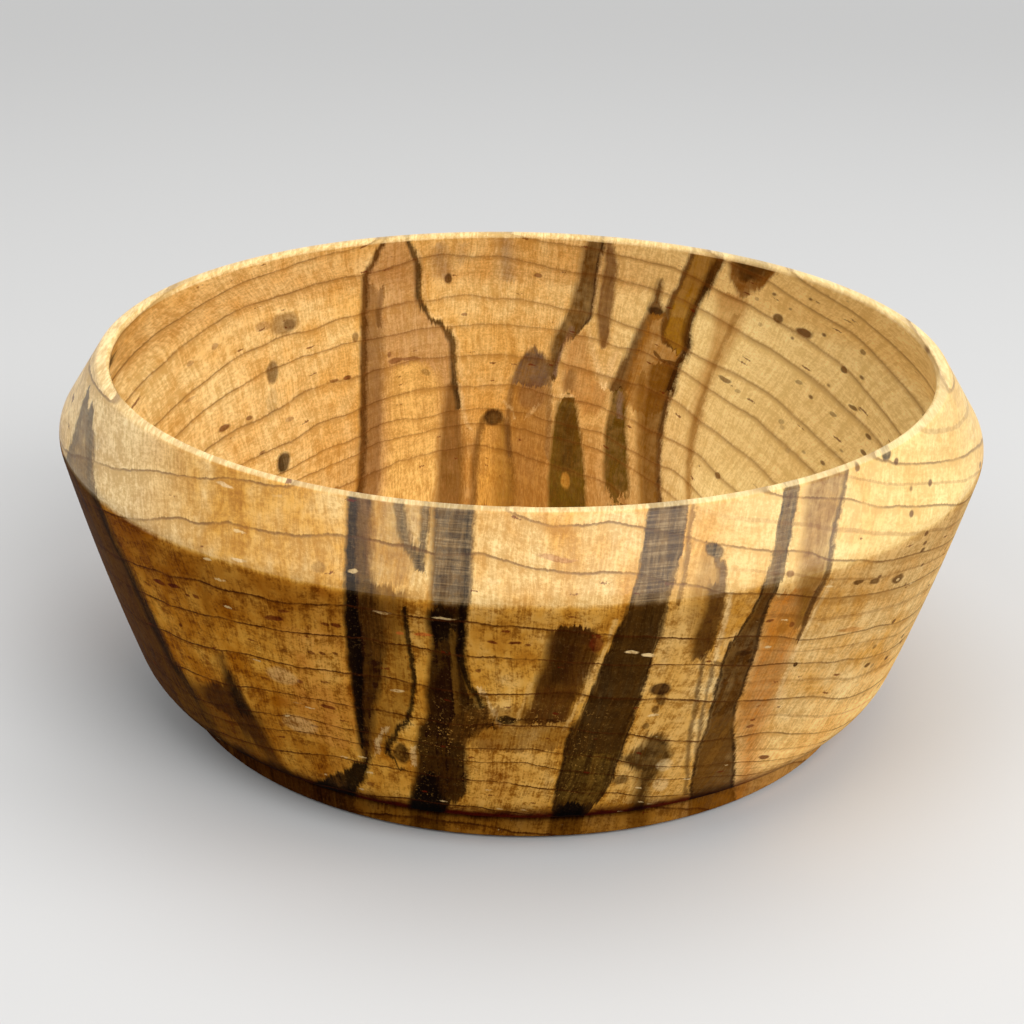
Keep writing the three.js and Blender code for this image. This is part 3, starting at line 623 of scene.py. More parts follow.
FAR = [
    # stain with dark outlines and a golden flame in it
    Streak(TAN, 0.72, 0.5, 0.4, [(60, -26, -22.6), (54.5, -27.4, -21.5), (52, -28.4, -20.5), (50, -29.6, -20.2),
        (46, -30.2, -20.1), (43, -30.2, -19.8), (41.4, -30.2, -18.9), (39.6, -30.2, -16.8), (37.4, -30.2, -14.5),
        (35, -30.2, -13.6), (30, -30.2, -13.2), (26, -30.2, -12.6), (23, -30.2, -12), (18, -30.2, -11.6),
        (0, -30.2, -11.4)]),
    Streak(srgb(124, 84, 40), 0.62, 0.5, 0.9, [(47, -30.2, -28.4), (40, -30.2, -27), (30, -30.2, -26.6),
        (20, -30.2, -26.6), (0, -30.2, -26.6)]),
    Streak(srgb(248, 200, 112), 0.7, 0.5, 1.6, [(31.4, -24.4, -19.6), (29, -25.4, -16.8), (24, -25.8, -15.6),
        (16, -25.8, -15.6), (0, -25.8, -15.8)]),
    Streak(srgb(122, 80, 24), 0.78, 0.7, 0.9, [(27, -14.2, -12.6), (22, -15, -12), (16, -15.8, -11), (0, -16, -10.4)]),
    Stroke(UMBER, 1.2, 0.9, [(60, -25.2), (56.4, -26.2), (54, -27.5), (52, -28.5), (50.4, -29.6), (48, -30.1),
        (40, -30.3), (28, -30.3), (8, -30.2)]),
    Stroke(srgb(84, 62, 32), 1.2, 0.92, [(60, -23), (56.4, -22.3), (54.4, -21.5), (52, -20.6), (49, -20.2), (46, -20.2),
        (43, -19.9), (41.5, -19.1), (40, -17.5), (38.7, -15.9), (37.5, -14.7), (36, -13.8), (33, -13.4), (30, -13.3),
        (27, -13), (25, -12.5), (22, -12)]),
    Stroke(CREAM, 0.6, 0.4, [(54, -20.3), (49, -19.2), (44, -18.9), (41.6, -17.9), (40, -16.2), (38, -13.8),
        (33, -12.3), (28, -12)]),
    Stroke(UMBER, 0.9, 0.55, [(46.6, -27.2), (44, -27.2), (42, -27.5), (39, -27.6)]),
    *marks(RUST, (-24.4, 32.4, 1.4, 0.5, 0.6, -0.2), (-21.4, 32.5, 1.8, 0.35, 0.55), (-25.6, 33.6, 0.35, 0.6, 0.5)),
    *marks(UMBER, (-18.6, 29.6, 0.9, 0.5, 0.4, 0.5)),
    # pale V, then the small arch
    Stroke(CREAM, 0.8, 0.6, [(27, -12.2), (24, -11.4), (21, -11), (19, -10.3), (18.2, -9.6)]),
    Streak(srgb(226, 166, 70), 0.5, 0.5, 0.8, [(22, -6.2, -4.4), (21, -7.2, -3.6), (19.4, -8, -2.8), (16, -8.4, -2),
        (0, -8.6, -1.2)]),
    Stroke(UMBER, 1.3, 0.6, [(22, -5.4), (21, -6.6), (19, -7.6), (16, -8.3), (12, -8.6), (8, -8.8)]),
    Stroke(UMBER, 1.3, 0.6, [(22, -5), (21, -4), (19, -3), (16, -2.2), (12, -1.6), (8, -1.2)]),
    *marks(srgb(70, 44, 18), (-5.2, 20.6, 1.9, 1.6, 0.88)),
    Streak(OLIVE, 0.55, 0.8, 1.2, [(20.4, -3.8, -2.6), (17, -4.6, -1.4), (12, -4.8, -0.4), (0, -4.8, 0)]),
    # big arch, with a dark top and chevrons below
    Streak(srgb(164, 110, 40), 0.62, 0.5, 1.1, [(33.4, 1.6, 3.4), (32, 0, 4.6), (30, -1, 5.2), (27, -1.8, 5.4),
        (23, -2.4, 5.6), (16, -1.6, 5.4), (0, -1, 5.2)]),
    Stroke(srgb(112, 78, 44), 1, 0.55, [(32.6, 1.2), (31, -0.2), (28.6, -1.2), (25, -2), (20, -2.4), (14, -2)]),
    Stroke(srgb(112, 78, 44), 1, 0.5, [(32.6, 3.8), (31, 4.8), (28.6, 5.4), (25, 5.6), (20, 5.7), (14, 5.5)]),
    Streak(srgb(92, 74, 64), 0.74, 0.8, 0.9, [(33.4, 1.6, 3.2), (32.6, 0.6, 4.2), (31, -0.5, 5), (29, -1.1, 5.4),
        (27, -1.4, 5.6)]),
    *marks(srgb(128, 86, 52), (2.2, 24.8, 2.8, 2.8, 0.5)),
    Stroke(CREAM, 0.6, 0.35, [(24, -3.4), (22.4, -2.4), (20.6, -1)]),
    Stroke(CREAM, 0.6, 0.35, [(23.6, 3.6), (22, 2.4), (19.8, 1)]),
    # two strands from the rim
    Streak(srgb(84, 54, 14), 0.8, 0.6, 0.8, [(60, 12.4, 15.4), (56.4, 11.9, 15.1), (52, 11, 14.5), (48, 10.5, 14.1),
        (45, 9.8, 13.8), (42, 9, 13.5), (39.6, 7.9, 13), (38, 7, 11.6), (36.4, 6.2, 9.4), (34, 5.6, 7.6),
        (31, 5.3, 6.8), (28.4, 5.4, 6.4)], right=0.6, line=DARK),
    Streak(srgb(104, 62, 26), 0.8, 0.5, 0.6, [(60, 15.6, 17), (56, 15.4, 17), (52, 15.5, 17.8), (48, 15, 18),
        (44, 14.5, 17.7), (41, 14.3, 17.3), (38, 14.7, 17), (35, 15.4, 16.6)]),
    Stroke(CREAM, 0.6, 0.35, [(53, 14.8), (48, 14.5), (43, 14), (40, 13.7)]),
    Stroke(STONE, 0.7, 0.5, [(38.4, 9.8), (35, 8.6), (32, 7.4), (29, 6.6)]),
    # brown zone over the lenses
    Streak(srgb(190, 128, 54), 0.6, 0.6, 1.2, [(36.6, 9.6, 12.6), (33, 8.4, 13.6), (29, 8, 14.8), (26, 8.6, 17),
        (24, 11, 16.4), (22, 12.6, 15)]),
    Streak(UMBER, 0.5, 0.6, 0.9, [(29.8, 8.8, 10.2), (28, 8.4, 10.6), (26.2, 8.4, 10.4)]),
    # bright V
    Stroke(CREAM, 0.9, 0.75, [(37, 13), (34, 13.9), (31.4, 14.8), (29, 15.6), (27.2, 16)]),
    Stroke(CREAM, 1.2, 0.8, [(34, 18.4), (31.4, 17.5), (29, 16.8), (27.2, 16.2)]),
    # lenses
    Streak(srgb(100, 74, 14), 0.92, 0.5, 0.5, [(24.8, 7.8, 10.6), (23.4, 7.2, 11), (21, 6.8, 11.4), (18.6, 6.4, 11.9),
        (16, 6.2, 12.2), (12, 5.8, 12.8), (8, 5.6, 13), (0, 5.6, 13)]),
    Streak(DARK, 0.45, 0.8, 1.6, [(23, 8.4, 10.4), (18, 7.8, 11), (13, 7.8, 11)]),
    *marks(CREAM, (9.1, 25.1, 1.6, 0.3, 0.7)),
    *marks(GOLD, (9, 11.2, 1, 0.8, 0.6)),
    Streak(srgb(96, 70, 14), 0.92, 0.7, 0.6, [(26.4, 17.8, 20.8), (23, 17.4, 20.6), (20.8, 16.8, 20.7), (17, 16.5, 21),
        (12, 16.4, 21.2), (10.4, 17, 20.6)]),
    Stroke(STONE, 0.9, 0.7, [(26, 19.6), (24, 19.2), (22.4, 19.4)]),
    # dark diagonal from the spike to the V
    Streak(srgb(88, 50, 6), 0.88, 0.4, 0.6, [(49.2, 26.2, 26.6), (47, 25.2, 26.6), (45, 24.8, 26.4), (43.6, 24.3, 27),
        (42, 23.9, 27.2), (41, 23.3, 25.4), (39, 22.4, 24.8), (37, 21.6, 24), (34, 20.3, 22.8), (31.4, 18.9, 22),
        (29, 17.9, 21.6), (27, 17.2, 21)]),
    *marks(BLACK, (25.6, 42.6, 1.6, 0.9, 0.7, 0.2)),
    # golden knot, then the blade over it
    Streak(srgb(164, 110, 36), 0.78, 0.7, 0.9, [(42, 24.6, 31.6), (39, 23.6, 31.6), (36, 22.6, 31.2), (33, 21.4, 30),
        (30, 20.6, 29), (27, 20, 28.2), (24, 21, 27.6)]),
    Streak(OLIVE, 0.8, 0.5, 0.6, [(30.4, 22.6, 24.2), (26, 22.4, 24), (20, 22.6, 24.2), (14, 22.8, 24), (8, 23, 24)]),
    Streak(srgb(122, 78, 14), 0.88, 0.5, 0.6, [(33, 25, 29.6), (28, 24.4, 28.6), (24, 23.8, 27.8), (20, 23.7, 27.2),
        (14, 23.7, 26.9), (0, 23.6, 26.8)], right=0.6, line=UMBER),
    Streak(srgb(158, 112, 24), 0.88, 0.35, 0.5, [(60, 32.6, 37.6), (56.4, 31.6, 36.6), (53, 30.8, 35.9), (50, 30, 35),
        (47, 29, 33.7), (44, 27.9, 32.6), (42, 27.6, 32), (40, 27, 31.6), (38, 27.4, 31.7), (36.6, 28.4, 31.5)],
        left=0.6, line=UMBER),
    Stroke(srgb(66, 36, 8), 1.5, 0.95, [(60, 37.2), (56.4, 36.4), (53.5, 35.6), (51, 35), (48, 34), (45, 32.8),
        (42, 31.9), (39, 31.4), (37.4, 31.6), (36, 31.2), (34.6, 30.2), (33, 29.6), (30, 29), (28, 28.4)]),
    *marks(UMBER, (28.4, 33.7, 1.7, 0.4, 0.85, 0.1), (26.2, 34.6, 1.1, 0.35, 0.75, 0.8),
        (30.4, 34.6, 1.1, 0.4, 0.8, -0.8)),
    # wedge at the rim, and the band under it
    Streak(srgb(140, 94, 34), 0.9, 0.5, 0.6, [(60, 37.4, 47.8), (56.4, 38, 46.6), (54, 38.2, 45), (52, 38.6, 43.9),
        (50.6, 39.6, 42.6), (48.6, 40.6, 41.3)]),
    Streak(srgb(74, 46, 12), 0.85, 0.4, 1, [(60, 38.4, 45.6), (56, 38.8, 44.8), (54, 39.4, 43.4), (52.6, 40.2, 42)]),
    Stroke(CREAM, 0.6, 0.6, [(49.4, 39.6), (47.6, 40.6), (46.4, 41)]),
    Streak(srgb(190, 138, 62), 0.62, 0.5, 0.9, [(49, 36.8, 40), (47, 36.7, 42), (42, 36.2, 40.7), (38, 35.8, 39.2),
        (34, 34.6, 37.4), (30, 33.6, 35.8), (24, 32.6, 34.4), (18, 32, 33.2), (8, 31.6, 32.8)]),
    Stroke(OLIVE, 0.9, 0.55, [(45, 40.2), (41, 38.8), (37, 37.2), (33, 36), (28, 34.6), (22, 33.4), (16, 32.5),
        (9, 32.2)]),
    # smears and small marks
    Streak(STONE, 0.5, 0.6, 1.4, [(54.6, -17, -15.4), (52, -17.6, -14.4), (49.6, -17, -14.2), (47.6, -16, -14)]),
    *marks(UMBER, (-14.5, 47.3, 0.7, 1.1, 0.85)),
    Streak(STONE, 0.35, 0.6, 1.4, [(55, -12.4, -11.2), (51, -12.6, -11.6)]),
    Streak(STONE, 0.45, 0.6, 1.6, [(60, -5.6, -3), (52, -5, -1.8), (47, -4.4, -1.6)]),
    Stroke(CREAM, 0.5, 0.45, [(60, -5.8), (54, -5.2), (48, -4.5), (43, -4.4)]),
    *marks(RUST, (2.8, 47.8, 0.8, 0.5, 0.65), (-11.4, 40.2, 0.6, 0.3, 0.6)),
    *marks(UMBER, (-44.4, 42.6, 2.4, 1.9, 0.55), (-43.6, 42.2, 1, 0.9, 0.6)),
    *marks(RUST, (-48, 43, 1.2, 0.8, 0.35)),
    *marks(srgb(104, 80, 50), (-46.3, 34.6, 1, 2, 0.75)),
    *marks(UMBER, (-46.3, 29.4, 0.8, 2.4, 0.22)),
    *marks(RUST, (-55.4, 42.2, 0.5, 0.5, 0.45), (-58.8, 41.2, 0.5, 0.4, 0.4), (-58.6, 35.4, 0.7, 0.3, 0.35),
        (-53.7, 28, 0.9, 0.6, 0.75), (-50, 28, 0.5, 0.4, 0.65), (-43.3, 25.3, 0.7, 0.4, 0.4),
        (-47.7, 21.2, 0.4, 0.35, 0.6)),
    *marks(BLACK, (-44.2, 18.2, 1.1, 1.6, 0.85)),
    *marks(RUST, (-33.2, 30.3, 0.7, 0.4, 0.8), (-35.6, 30.4, 0.8, 0.3, 0.6)),
    *marks(UMBER, (-31.9, 37.7, 0.5, 0.9, 0.6), (47.1, 46.3, 0.8, 0.9, 0.8)),
    *marks(srgb(96, 52, 14), (51.4, 45.2, 1.3, 0.8, 0.88)),
    *marks(UMBER, (57.4, 41.6, 0.5, 0.5, 0.8), (59.9, 46.2, 0.4, 0.5, 0.6), (58.8, 36.5, 0.6, 0.4, 0.75),
        (56, 33.7, 0.5, 0.4, 0.55), (50.9, 36.4, 0.6, 0.4, 0.5), (38.5, 32.8, 1.2, 0.45, 0.7, 0.2),
        (40.9, 31.3, 0.5, 0.4, 0.4), (48.3, 28.5, 0.5, 0.5, 0.4), (37.6, 15.7, 0.5, 0.5, 0.75)),
]

# The growth rings are round the pith, which lies along the grain below the bowl.
PITH_X = -13.0
PITH_Z = -110.0
RING_RADII = [98, 105.5, 112, 118.5, 124.9, 128.9, 131.6, 136.4, 142.6, 148.6, 153.4, 161.4, 167, 173.4, 178,
              184.4, 189, 196]
# What a turn of one radian about the pith counts for in noise, in mm.
TURN_LENGTH = 150.0

# Half the wall: radius by height, which parts the outside from the inside.
WALL_MIDDLE = [(0, 52), (10, 60), (26, 65.2), (45, 69.8), (50, 68.6), (56.4, 66.2), (64, 66)]
# How pale the wood is across the grain, from the dark left to the pale right.
PALENESS = [(-80, 0.0), (-60, 0.1), (-42, 0.2), (-24, 0.32), (-8, 0.42), (8, 0.48), (22, 0.62), (38, 0.85),
            (60, 1.0), (80, 1.0)]
# How bright the painted sheen is on the facet's dark wood.
PAINTED_SHEEN = [(-80, 0.4), (-60, 0.5), (-44, 0.1), (-20, 0.3), (-12, 1.0), (2, 0.9), (16, 0.9), (34, 0.8), (80, 0.5)]

# The figure's reach to each side and upwards. A streak that starts at OVER_RIM, or ends at 0, isn't cut off there.
REACH = 80.0
TOP = 64.0
OVER_RIM = 60.0
END_GAP = 1.0
# Sharpness is the slope of a cover's edge, and a core is its value in the middle, which is over 1 where it is flat.
EDGE_SHARPNESS = 0.62
OUTLINE_CORE = 1.3
OUTLINE_STRENGTH = 0.85
STROKE_SHARPNESS = 1.6
STROKE_CORE = 1.4
MARK_SHARPNESS = 2.6
MARK_CORE = 3.1
# Heights over which the body turns into the facet over the belly.
FACET_START = (45.4, 46.4)

# The wood is parted in regions, and each region's material lays only the pieces that reach it.
BAND_EDGES = [-46.0, -14.0, 12.0, 24.0, 42.0]
NEAR_ZONE, MIDDLE_ZONE, FAR_ZONE = range(3)
NEAR_EDGE = -29.0
FAR_EDGE = 25.0
REGION_MARGIN = 3.5
GROUP_SIZE = 12
# The most that a face may lean inwards and still be on the facet, as a share of its distance from the axis.
FACET_LEAN = -0.2
# The facet over the belly is polished brighter than the rest.
FACET_GLOSS = 0.32
BODY_GLOSS = 0.01


class Figure(Layers):
    """Lays streaks, strokes and marks over a colour, in the plane across the grain."""

    def __init__(self, graph, colour, x, z, mark_x, mark_z, texture):
        super().__init__(graph, colour)
        self.x = graph.ramp(x, 0.5 / REACH, 0.5)
        self.height = graph.times(z, 1 / TOP)
        self.z = z
        self.place = graph.vector(mark_x, 0.0, mark_z)
        self.texture = texture

    def edge(self, points):
        """Place across, as a share of the figure's width, for each height."""
        node = self.graph.curve_node([(z / TOP, 0.5 + 0.5 * x / REACH) for z, x in points], "AUTO_CLAMPED")
        self.graph.put(node.inputs["Value"], self.height)
        return node.outputs[0]

    def streak(self, streak):
        g = self.graph
        rows = list(streak.rows)
        # beyond a cut end the two edges change places, so that nothing is between them
        for (z, *edges), beyond, end in ((rows[0], END_GAP, TOP), (rows[-1], -END_GAP, 0)):
            if 0 < z < OVER_RIM:
                middle = sum(edges) / 2
                rows += [(z + beyond, middle + 1, middle - 1), (end, middle + 1, middle - 1)]
        left = g.math("SUBTRACT", self.x, self.edge([(z, x) for z, x, _ in rows]))
        right = g.math("SUBTRACT", self.edge([(z, x) for z, _, x in rows]), self.x)
        sharp = EDGE_SHARPNESS * 2 * REACH / streak.soft
        inside = g.ramp(g.math("MINIMUM", left, right), sharp, 0.5, clamp=True)
        cover = g.ramp(self.texture, streak.vary, streak.strength - streak.vary / 2, clamp=True)
        self.lay(streak.colour, inside, cover)
        for near, away, width in ((left, right, streak.left), (right, left, streak.right)):
            if width:
                line = g.ramp(g.math("ABSOLUTE", near), -2 * REACH / width, OUTLINE_CORE, clamp=True)
                self.lay(streak.line, line, g.ramp(away, sharp, 0.5, clamp=True), OUTLINE_STRENGTH)

    def stroke(self, stroke):
        g = self.graph
        top, bottom = stroke.rows[0][0], stroke.rows[-1][0]
        away = g.math("ABSOLUTE", g.math("SUBTRACT", self.x, self.edge(stroke.rows)))
        line = g.ramp(away, -STROKE_SHARPNESS * 2 * REACH / stroke.width, STROKE_CORE, clamp=True)
        within = g.math("COMPARE", self.z, (top + bottom) / 2, (top - bottom) / 2)
        self.lay(stroke.colour, line, within, stroke.strength)

    def mark(self, mark):
        given = {"Location": (mark.x, 0, mark.z), "Rotation": (0, mark.turn, 0), "Scale": (mark.wide, 1, mark.high)}
        place = self.graph.node("Mapping", self.place, given=given, vector_type="TEXTURE").outputs[0]
        length = self.graph.node("VectorMath", place, operation="LENGTH").outputs["Value"]
        self.lay(mark.colour, self.graph.ramp(length, -MARK_SHARPNESS, MARK_CORE, clamp=True), mark.strength)

    def draw(self, pieces):
        ways = {Streak: self.streak, Stroke: self.stroke, Mark: self.mark}
        for piece in pieces:
            ways[type(piece)](piece)


def figure_tree(name):
    """An empty node group for a part of the figure, with its Graph and its given values."""
    tree = bpy.data.node_groups.new(name, "ShaderNodeTree")
    inputs = ["Colour", "X", "Z", "Mark X", "Mark Z", "Texture"]
    for socket in inputs:
        kind = "NodeSocketColor" if socket == "Colour" else "NodeSocketFloat"
        tree.interface.new_socket(socket, in_out="INPUT", socket_type=kind)
    tree.interface.new_socket("Colour", in_out="OUTPUT", socket_type="NodeSocketColor")
    graph = Graph(tree)
    return tree, graph, tree.nodes.new("NodeGroupInput").outputs[:len(inputs)]


def give_colour(graph, colour):
    """Ends a node group."""
    graph.put(graph.tree.nodes.new("NodeGroupOutput").inputs["Colour"], colour)


def figure_group(name, pieces):
    """A node group that lays the pieces over a colour in their order, by smaller groups of a few pieces each."""
    whole, g, (colour, *values) = figure_tree(name)
    for start in range(0, len(pieces), GROUP_SIZE):
        part, inner, given = figure_tree(f"{name}_{start // GROUP_SIZE + 1}")
        figure = Figure(inner, *given)
        figure.draw(pieces[start:start + GROUP_SIZE])
        give_colour(inner, figure.colour)
        colour = g.node("Group", colour, *values, node_tree=part).outputs["Colour"]
    give_colour(g, colour)
    return whole


# Stands where a region's figure is put in later, and leaves the colour as it is.
PLAIN_FIGURE = figure_group("plain_figure", [])


def ring_lines(g, radius):
    """The thin dark line at each growth ring, a line between two rings, the soft band at a ring and the slow
    darkening before it."""
    last = len(RING_RADII) - 1
    phase = g.curve(radius, [(r, i) for i, r in enumerate(RING_RADII)], RING_RADII[0], RING_RADII[-1], 0, last)
    part = g.math("FRACT", phase)
    late = g.step(part, 0.72, 1.0)
    line = g.math("MAXIMUM", g.step(part, 0.94, 0.985), g.fall(part, 0.0, 0.02))
    halo = g.math("MAXIMUM", g.step(part, 0.84, 0.97), g.fall(part, 0.0, 0.08))
    between = g.fall(g.math("ABSOLUTE", g.math("SUBTRACT", part, 0.5)), 0.02, 0.05)
    return line, between, halo, late


def streaked_maple(name, tint=(1, 1, 1)):
    """The bowl's wood, solid all through, with its grain along Y."""
    material, g = new_material(name)
    straight = x0, y0, z0 = g.split(millimetres(g))
    along = g.scaled(straight, (1, 0.12, 1))
    slow_x, slow_y, slow_z = g.split(g.noise(along, 0.045, 2.0)["Color"])
    mid_x, mid_y, mid_z = g.split(g.noise(along, 0.42, 3.0, 0.6)["Color"])

    # growth rings and rays, in polar places about the pith
    ring_x = g.add(x0, -PITH_X, g.sway(slow_x, 6))
    ring_z = g.add(z0, -PITH_Z, g.sway(slow_z, 6))
    radius = g.hypot(ring_x, ring_z)
    turn = g.times(g.math("ARCTAN2", ring_x, ring_z), TURN_LENGTH)
    polar = turn, y0, radius
    strands = g.grain(polar, (1, 0.2, 0.045), 0.8, 4.0, 0.72, 2.8)
    fibre = g.grain(polar, (3.4, 0.4, 0.3), 1.0, 2.0, 0.6, 2.4)
    grit = g.grain(polar, (2.2, 0.2, 2.6), 1.0, 3.0, 0.7, 2.8)
    cloud = g.grain(straight, (1, 0.2, 0.7), 0.2, 4.0, 0.62, 2.8)
    blotch = g.grain(straight, (1, 0.3, 1.3), 0.55, 4.0, 0.66, 3.0)
    texture = g.add(g.times(strands, 0.45), g.times(blotch, 0.35), g.times(grit, 0.2))

    # the figure's places, wandering at their edges and feathered at their ends
    mark_x = g.add(x0, g.sway(mid_x, 0.9))
    mark_z = g.add(z0, g.sway(mid_y, 1))
    x = g.add(mark_x, g.sway(grit, 0.2), g.sway(fibre, 0.2))
    z = g.add(mark_z, g.sway(strands, 2))

    # ground colour
    across = g.hypot(x0, y0)
    wall_middle = g.curve(z0, WALL_MIDDLE, 0, TOP, 0, REACH)
    outside = g.step(g.math("SUBTRACT", across, wall_middle), -0.6, 0.6)
    inside = g.math("SUBTRACT", 1.0, outside)
    facet = g.times(outside, g.step(z0, *FACET_START))
    body = g.math("SUBTRACT", outside, facet)
    pale = g.curve(x0, PALENESS, -REACH, REACH, 0, 1)
    aside = g.step(g.distance(x0, -4.0), 18, 46)
    # painted light: the lower right of the body made paler and brighter
    painted_light_low_right = g.times(body, g.fall(z0, 10, 26), g.step(x0, 18, 40))
    # more paleness: the facet's share is painted light on its upward face, the lower right's share painted light too
    pale = g.add(pale, g.times(facet, 0.36), g.times(inside, g.ramp(aside, 0.4, 0.36)), g.times(painted_light_low_right, 0.4),
                 g.sway(cloud, 0.4), g.sway(slow_y, 0.6))
    low = g.colour(cloud, srgb(168, 98, 12), srgb(216, 142, 34))
    middle = g.colour(cloud, srgb(222, 158, 56), srgb(238, 180, 78))
    high = g.colour(cloud, srgb(236, 184, 108), srgb(250, 214, 146))
    wood = Layers(g, g.colour(g.step(pale, 0.05, 0.6), low, middle))
    wood.lay(high, g.step(pale, 0.4, 1.05))
    wood.lay(srgb(255, 232, 162), inside, g.step(x0, 4, 40, 0.2, 0.8))
    # painted shade under the belly's overhang, stronger on the left
    under_belly_shade = g.step(g.add(z0, g.times(mid_y, 3.0)), 32, 45)
    wood.shade((0.58, 0.48, 0.34), body, under_belly_shade, g.step(x0, -36, 20, 0.8, 0.45))
    # painted shade low on the left of the body
    wood.shade((0.8, 0.74, 0.6), body, g.fall(z0, 14, 28), g.fall(x0, -34, -12))
    golden = g.times(inside, g.step(z0, 12, 36, 0.7, 0.0), g.math("SUBTRACT", 1.0, aside))
    wood.lay(g.colour(g.step(z0, 12, 24), srgb(176, 112, 34), srgb(222, 156, 56)), golden)

    # the near and the far figure, which meet in a feathered edge
    feather = g.grain(polar, (1, 0, 1.4), 0.5, 4.0, 0.7, 2.4)
    y = g.add(y0, g.sway(slow_x, 26), g.sway(feather, 20))
    near = g.fall(y, -5.5, 1.5)
    given = (wood.colour, x, z, mark_x, mark_z, texture)
    sides = [g.node("Group", *given, node_tree=PLAIN_FIGURE, name=side).outputs[0] for side in ("far", "near")]
    wood.colour = g.colour(near, *sides)
    foot = g.times(outside, g.step(g.add(z0, g.times(mid_z, 0.6)), 3.7, 4.6, 0.72, 0.0))
    wood.lay(g.colour(g.step(x0, -34, -8), srgb(60, 20, 4), srgb(138, 86, 18)), foot)
    red = g.split(wood.colour)[0]
    dark = g.fall(red, 0.08, 0.32)

    # long strands of brown and fine pale dots in the dark wood, but not in the black
    brown = g.times(dark, g.step(red, 0.02, 0.07))
    wood.lay(srgb(128, 84, 26), brown, g.step(strands, 0.4, 0.95), 0.34)
    wood.lay(srgb(38, 18, 4), brown, g.step(strands, 0.1, 0.5, 0.5, 0.0))
    wood.lay(srgb(150, 112, 60), dark, g.step(grit, 0.7, 0.95), 0.14)

    # painted glints: small golden points where the streaks meet
    glint_patch = g.times(outside, g.fall(g.distance(x0, -3.0), 9, 18), g.fall(g.distance(z0, 20.0), 5, 12))
    wood.lay(srgb(228, 168, 76), glint_patch, g.step(grit, 0.76, 0.96), g.step(cloud, 0.2, 0.8), 0.6)

    # painted sheen on the facet's dark wood, and painted glints along the lines the tool left across it
    scratch = g.noise(g.scaled(straight, (0.07, 0, 3.4)), 1.0, 4.0, 0.75)[0]
    painted_sheen = g.add(g.step(strands, 0.25, 0.75, 0.06, 0.32), g.step(scratch, 0.42, 0.66, 0.0, 0.38))
    wood.lay(srgb(190, 160, 114), facet, dark, painted_sheen, g.step(red, 0.0, 0.03, 0.4, 1.0),
             g.curve(x0, PAINTED_SHEEN, -REACH, REACH, 0, 1))
    # the facet tinted yellower on the right, and bluer and greyer on the left as a painted reflected veil
    wood.shade((1.0, 1.07, 1.05), facet, g.step(x0, 16, 56))
    wood.shade((0.96, 1.0, 1.2), facet, g.fall(x0, -46, -16))
    # painted highlight on the facet at the far left
    wood.lay(srgb(255, 228, 172), facet, g.step(x0, -57, -41, 0.76, 0.0), g.ramp(dark, -0.8, 1.0))

    # painted highlight along the rim's edge
    rim = g.step(g.add(z0, g.times(across, -0.35)), 32.85, 33.1)
    wood.lay(srgb(255, 226, 164), rim, g.ramp(dark, -0.2, 0.8))

    # heel, darker: partly a thicker, darker finish, partly painted shade where the heel faces down
    heel = g.times(outside, g.step(g.add(z0, g.times(mid_z, 1.2)), 3.6, 4.6),
                   g.fall(g.add(z0, g.times(mid_y, 2.0)), 8.2, 11.4))
    heel_finish_and_shade = g.colour(g.step(x0, -34, -8), srgb(60, 10, 2), srgb(96, 32, 6))
    wood.shade(heel_finish_and_shade, heel, g.step(x0, 22, 50, 1.0, 0.45))

    # rings over all of it, calmer on the right
    calm = g.step(x0, 6, 42)
    wander = g.times(g.sway(mid_z, 0.8), g.ramp(calm, -0.6, 1.0))
    line, between, halo, late = ring_lines(g, g.add(radius, g.sway(fibre, 0.1), wander))
    show = g.times(line, g.step(cloud, 0.0, 0.7, 0.4, 1.0), g.ramp(dark, -0.4, 1.0),
                   g.add(g.times(body, g.step(x0, 20, 46, 0.9, 0.55)), g.times(facet, 0.6),
                         g.times(inside, g.step(x0, -46, -10, 0.44, 0.24))))
    wood.lay(srgb(140, 88, 34), halo, inside, g.step(x0, 0, 36, 0.2, 0.36))
    wood.lay(srgb(88, 42, 10), show)
    wood.lay(srgb(124, 74, 26), between, outside, g.step(x0, 16, 40), 0.3)

    # light and dark fibres
    bands = g.grain(polar, (0.03, 0, 0.8), 1.0, 3.0, 0.6, 2.4)
    mottled = g.ramp(g.times(body, g.step(x0, 20, 44, 1.0, 0.2)), 0.18, 0.1)
    tone = g.add(g.times(strands, 0.2), g.times(fibre, 0.2), g.times(grit, 0.26), g.times(blotch, mottled),
                 g.times(bands, 0.16), g.times(late, -0.12))
    shade = Layers(g, g.colour(body, (0.72, 0.62, 0.46), (0.44, 0.32, 0.16)))
    shade.lay((0.96, 0.92, 0.84), calm, 0.5)
    shade.lay((1.1, 1.1, 1.12), g.step(tone, 0.28, 0.67))
    wood.shade(shade.colour, 1.0)
    # painted light: the lower right of the body lifted brighter still
    wood.shade((1.34, 1.3, 1.16), painted_light_low_right)

    # red-brown flecks, cream flecks painted as glints, and specks at the upper right
    flecks = g.cells(g.scaled(polar, (0.26, 0.05, 0.9)))
    few = g.split(flecks["Color"])
    fleck = g.fall(g.add(flecks["Distance"], g.sway(grit, 0.2)), 0.1, 0.2)
    wood.lay(RUST, fleck, g.step(few[0], 0.86, 0.88), 0.75)
    wood.lay(CREAM, fleck, outside, g.step(few[1], 0.93, 0.94), 0.7)
    specks = g.cells(g.scaled(straight, (0.36, 0.05, 0.36)))
    some = g.split(specks["Color"])[0]
    where = g.step(g.add(x0, g.times(z0, 0.3)), 52, 64)
    wood.lay(srgb(92, 52, 24), g.fall(specks["Distance"], 0.1, 0.19), g.step(some, 0.38, 0.4), where, 0.8)
    wood.shade(tint, 1.0)

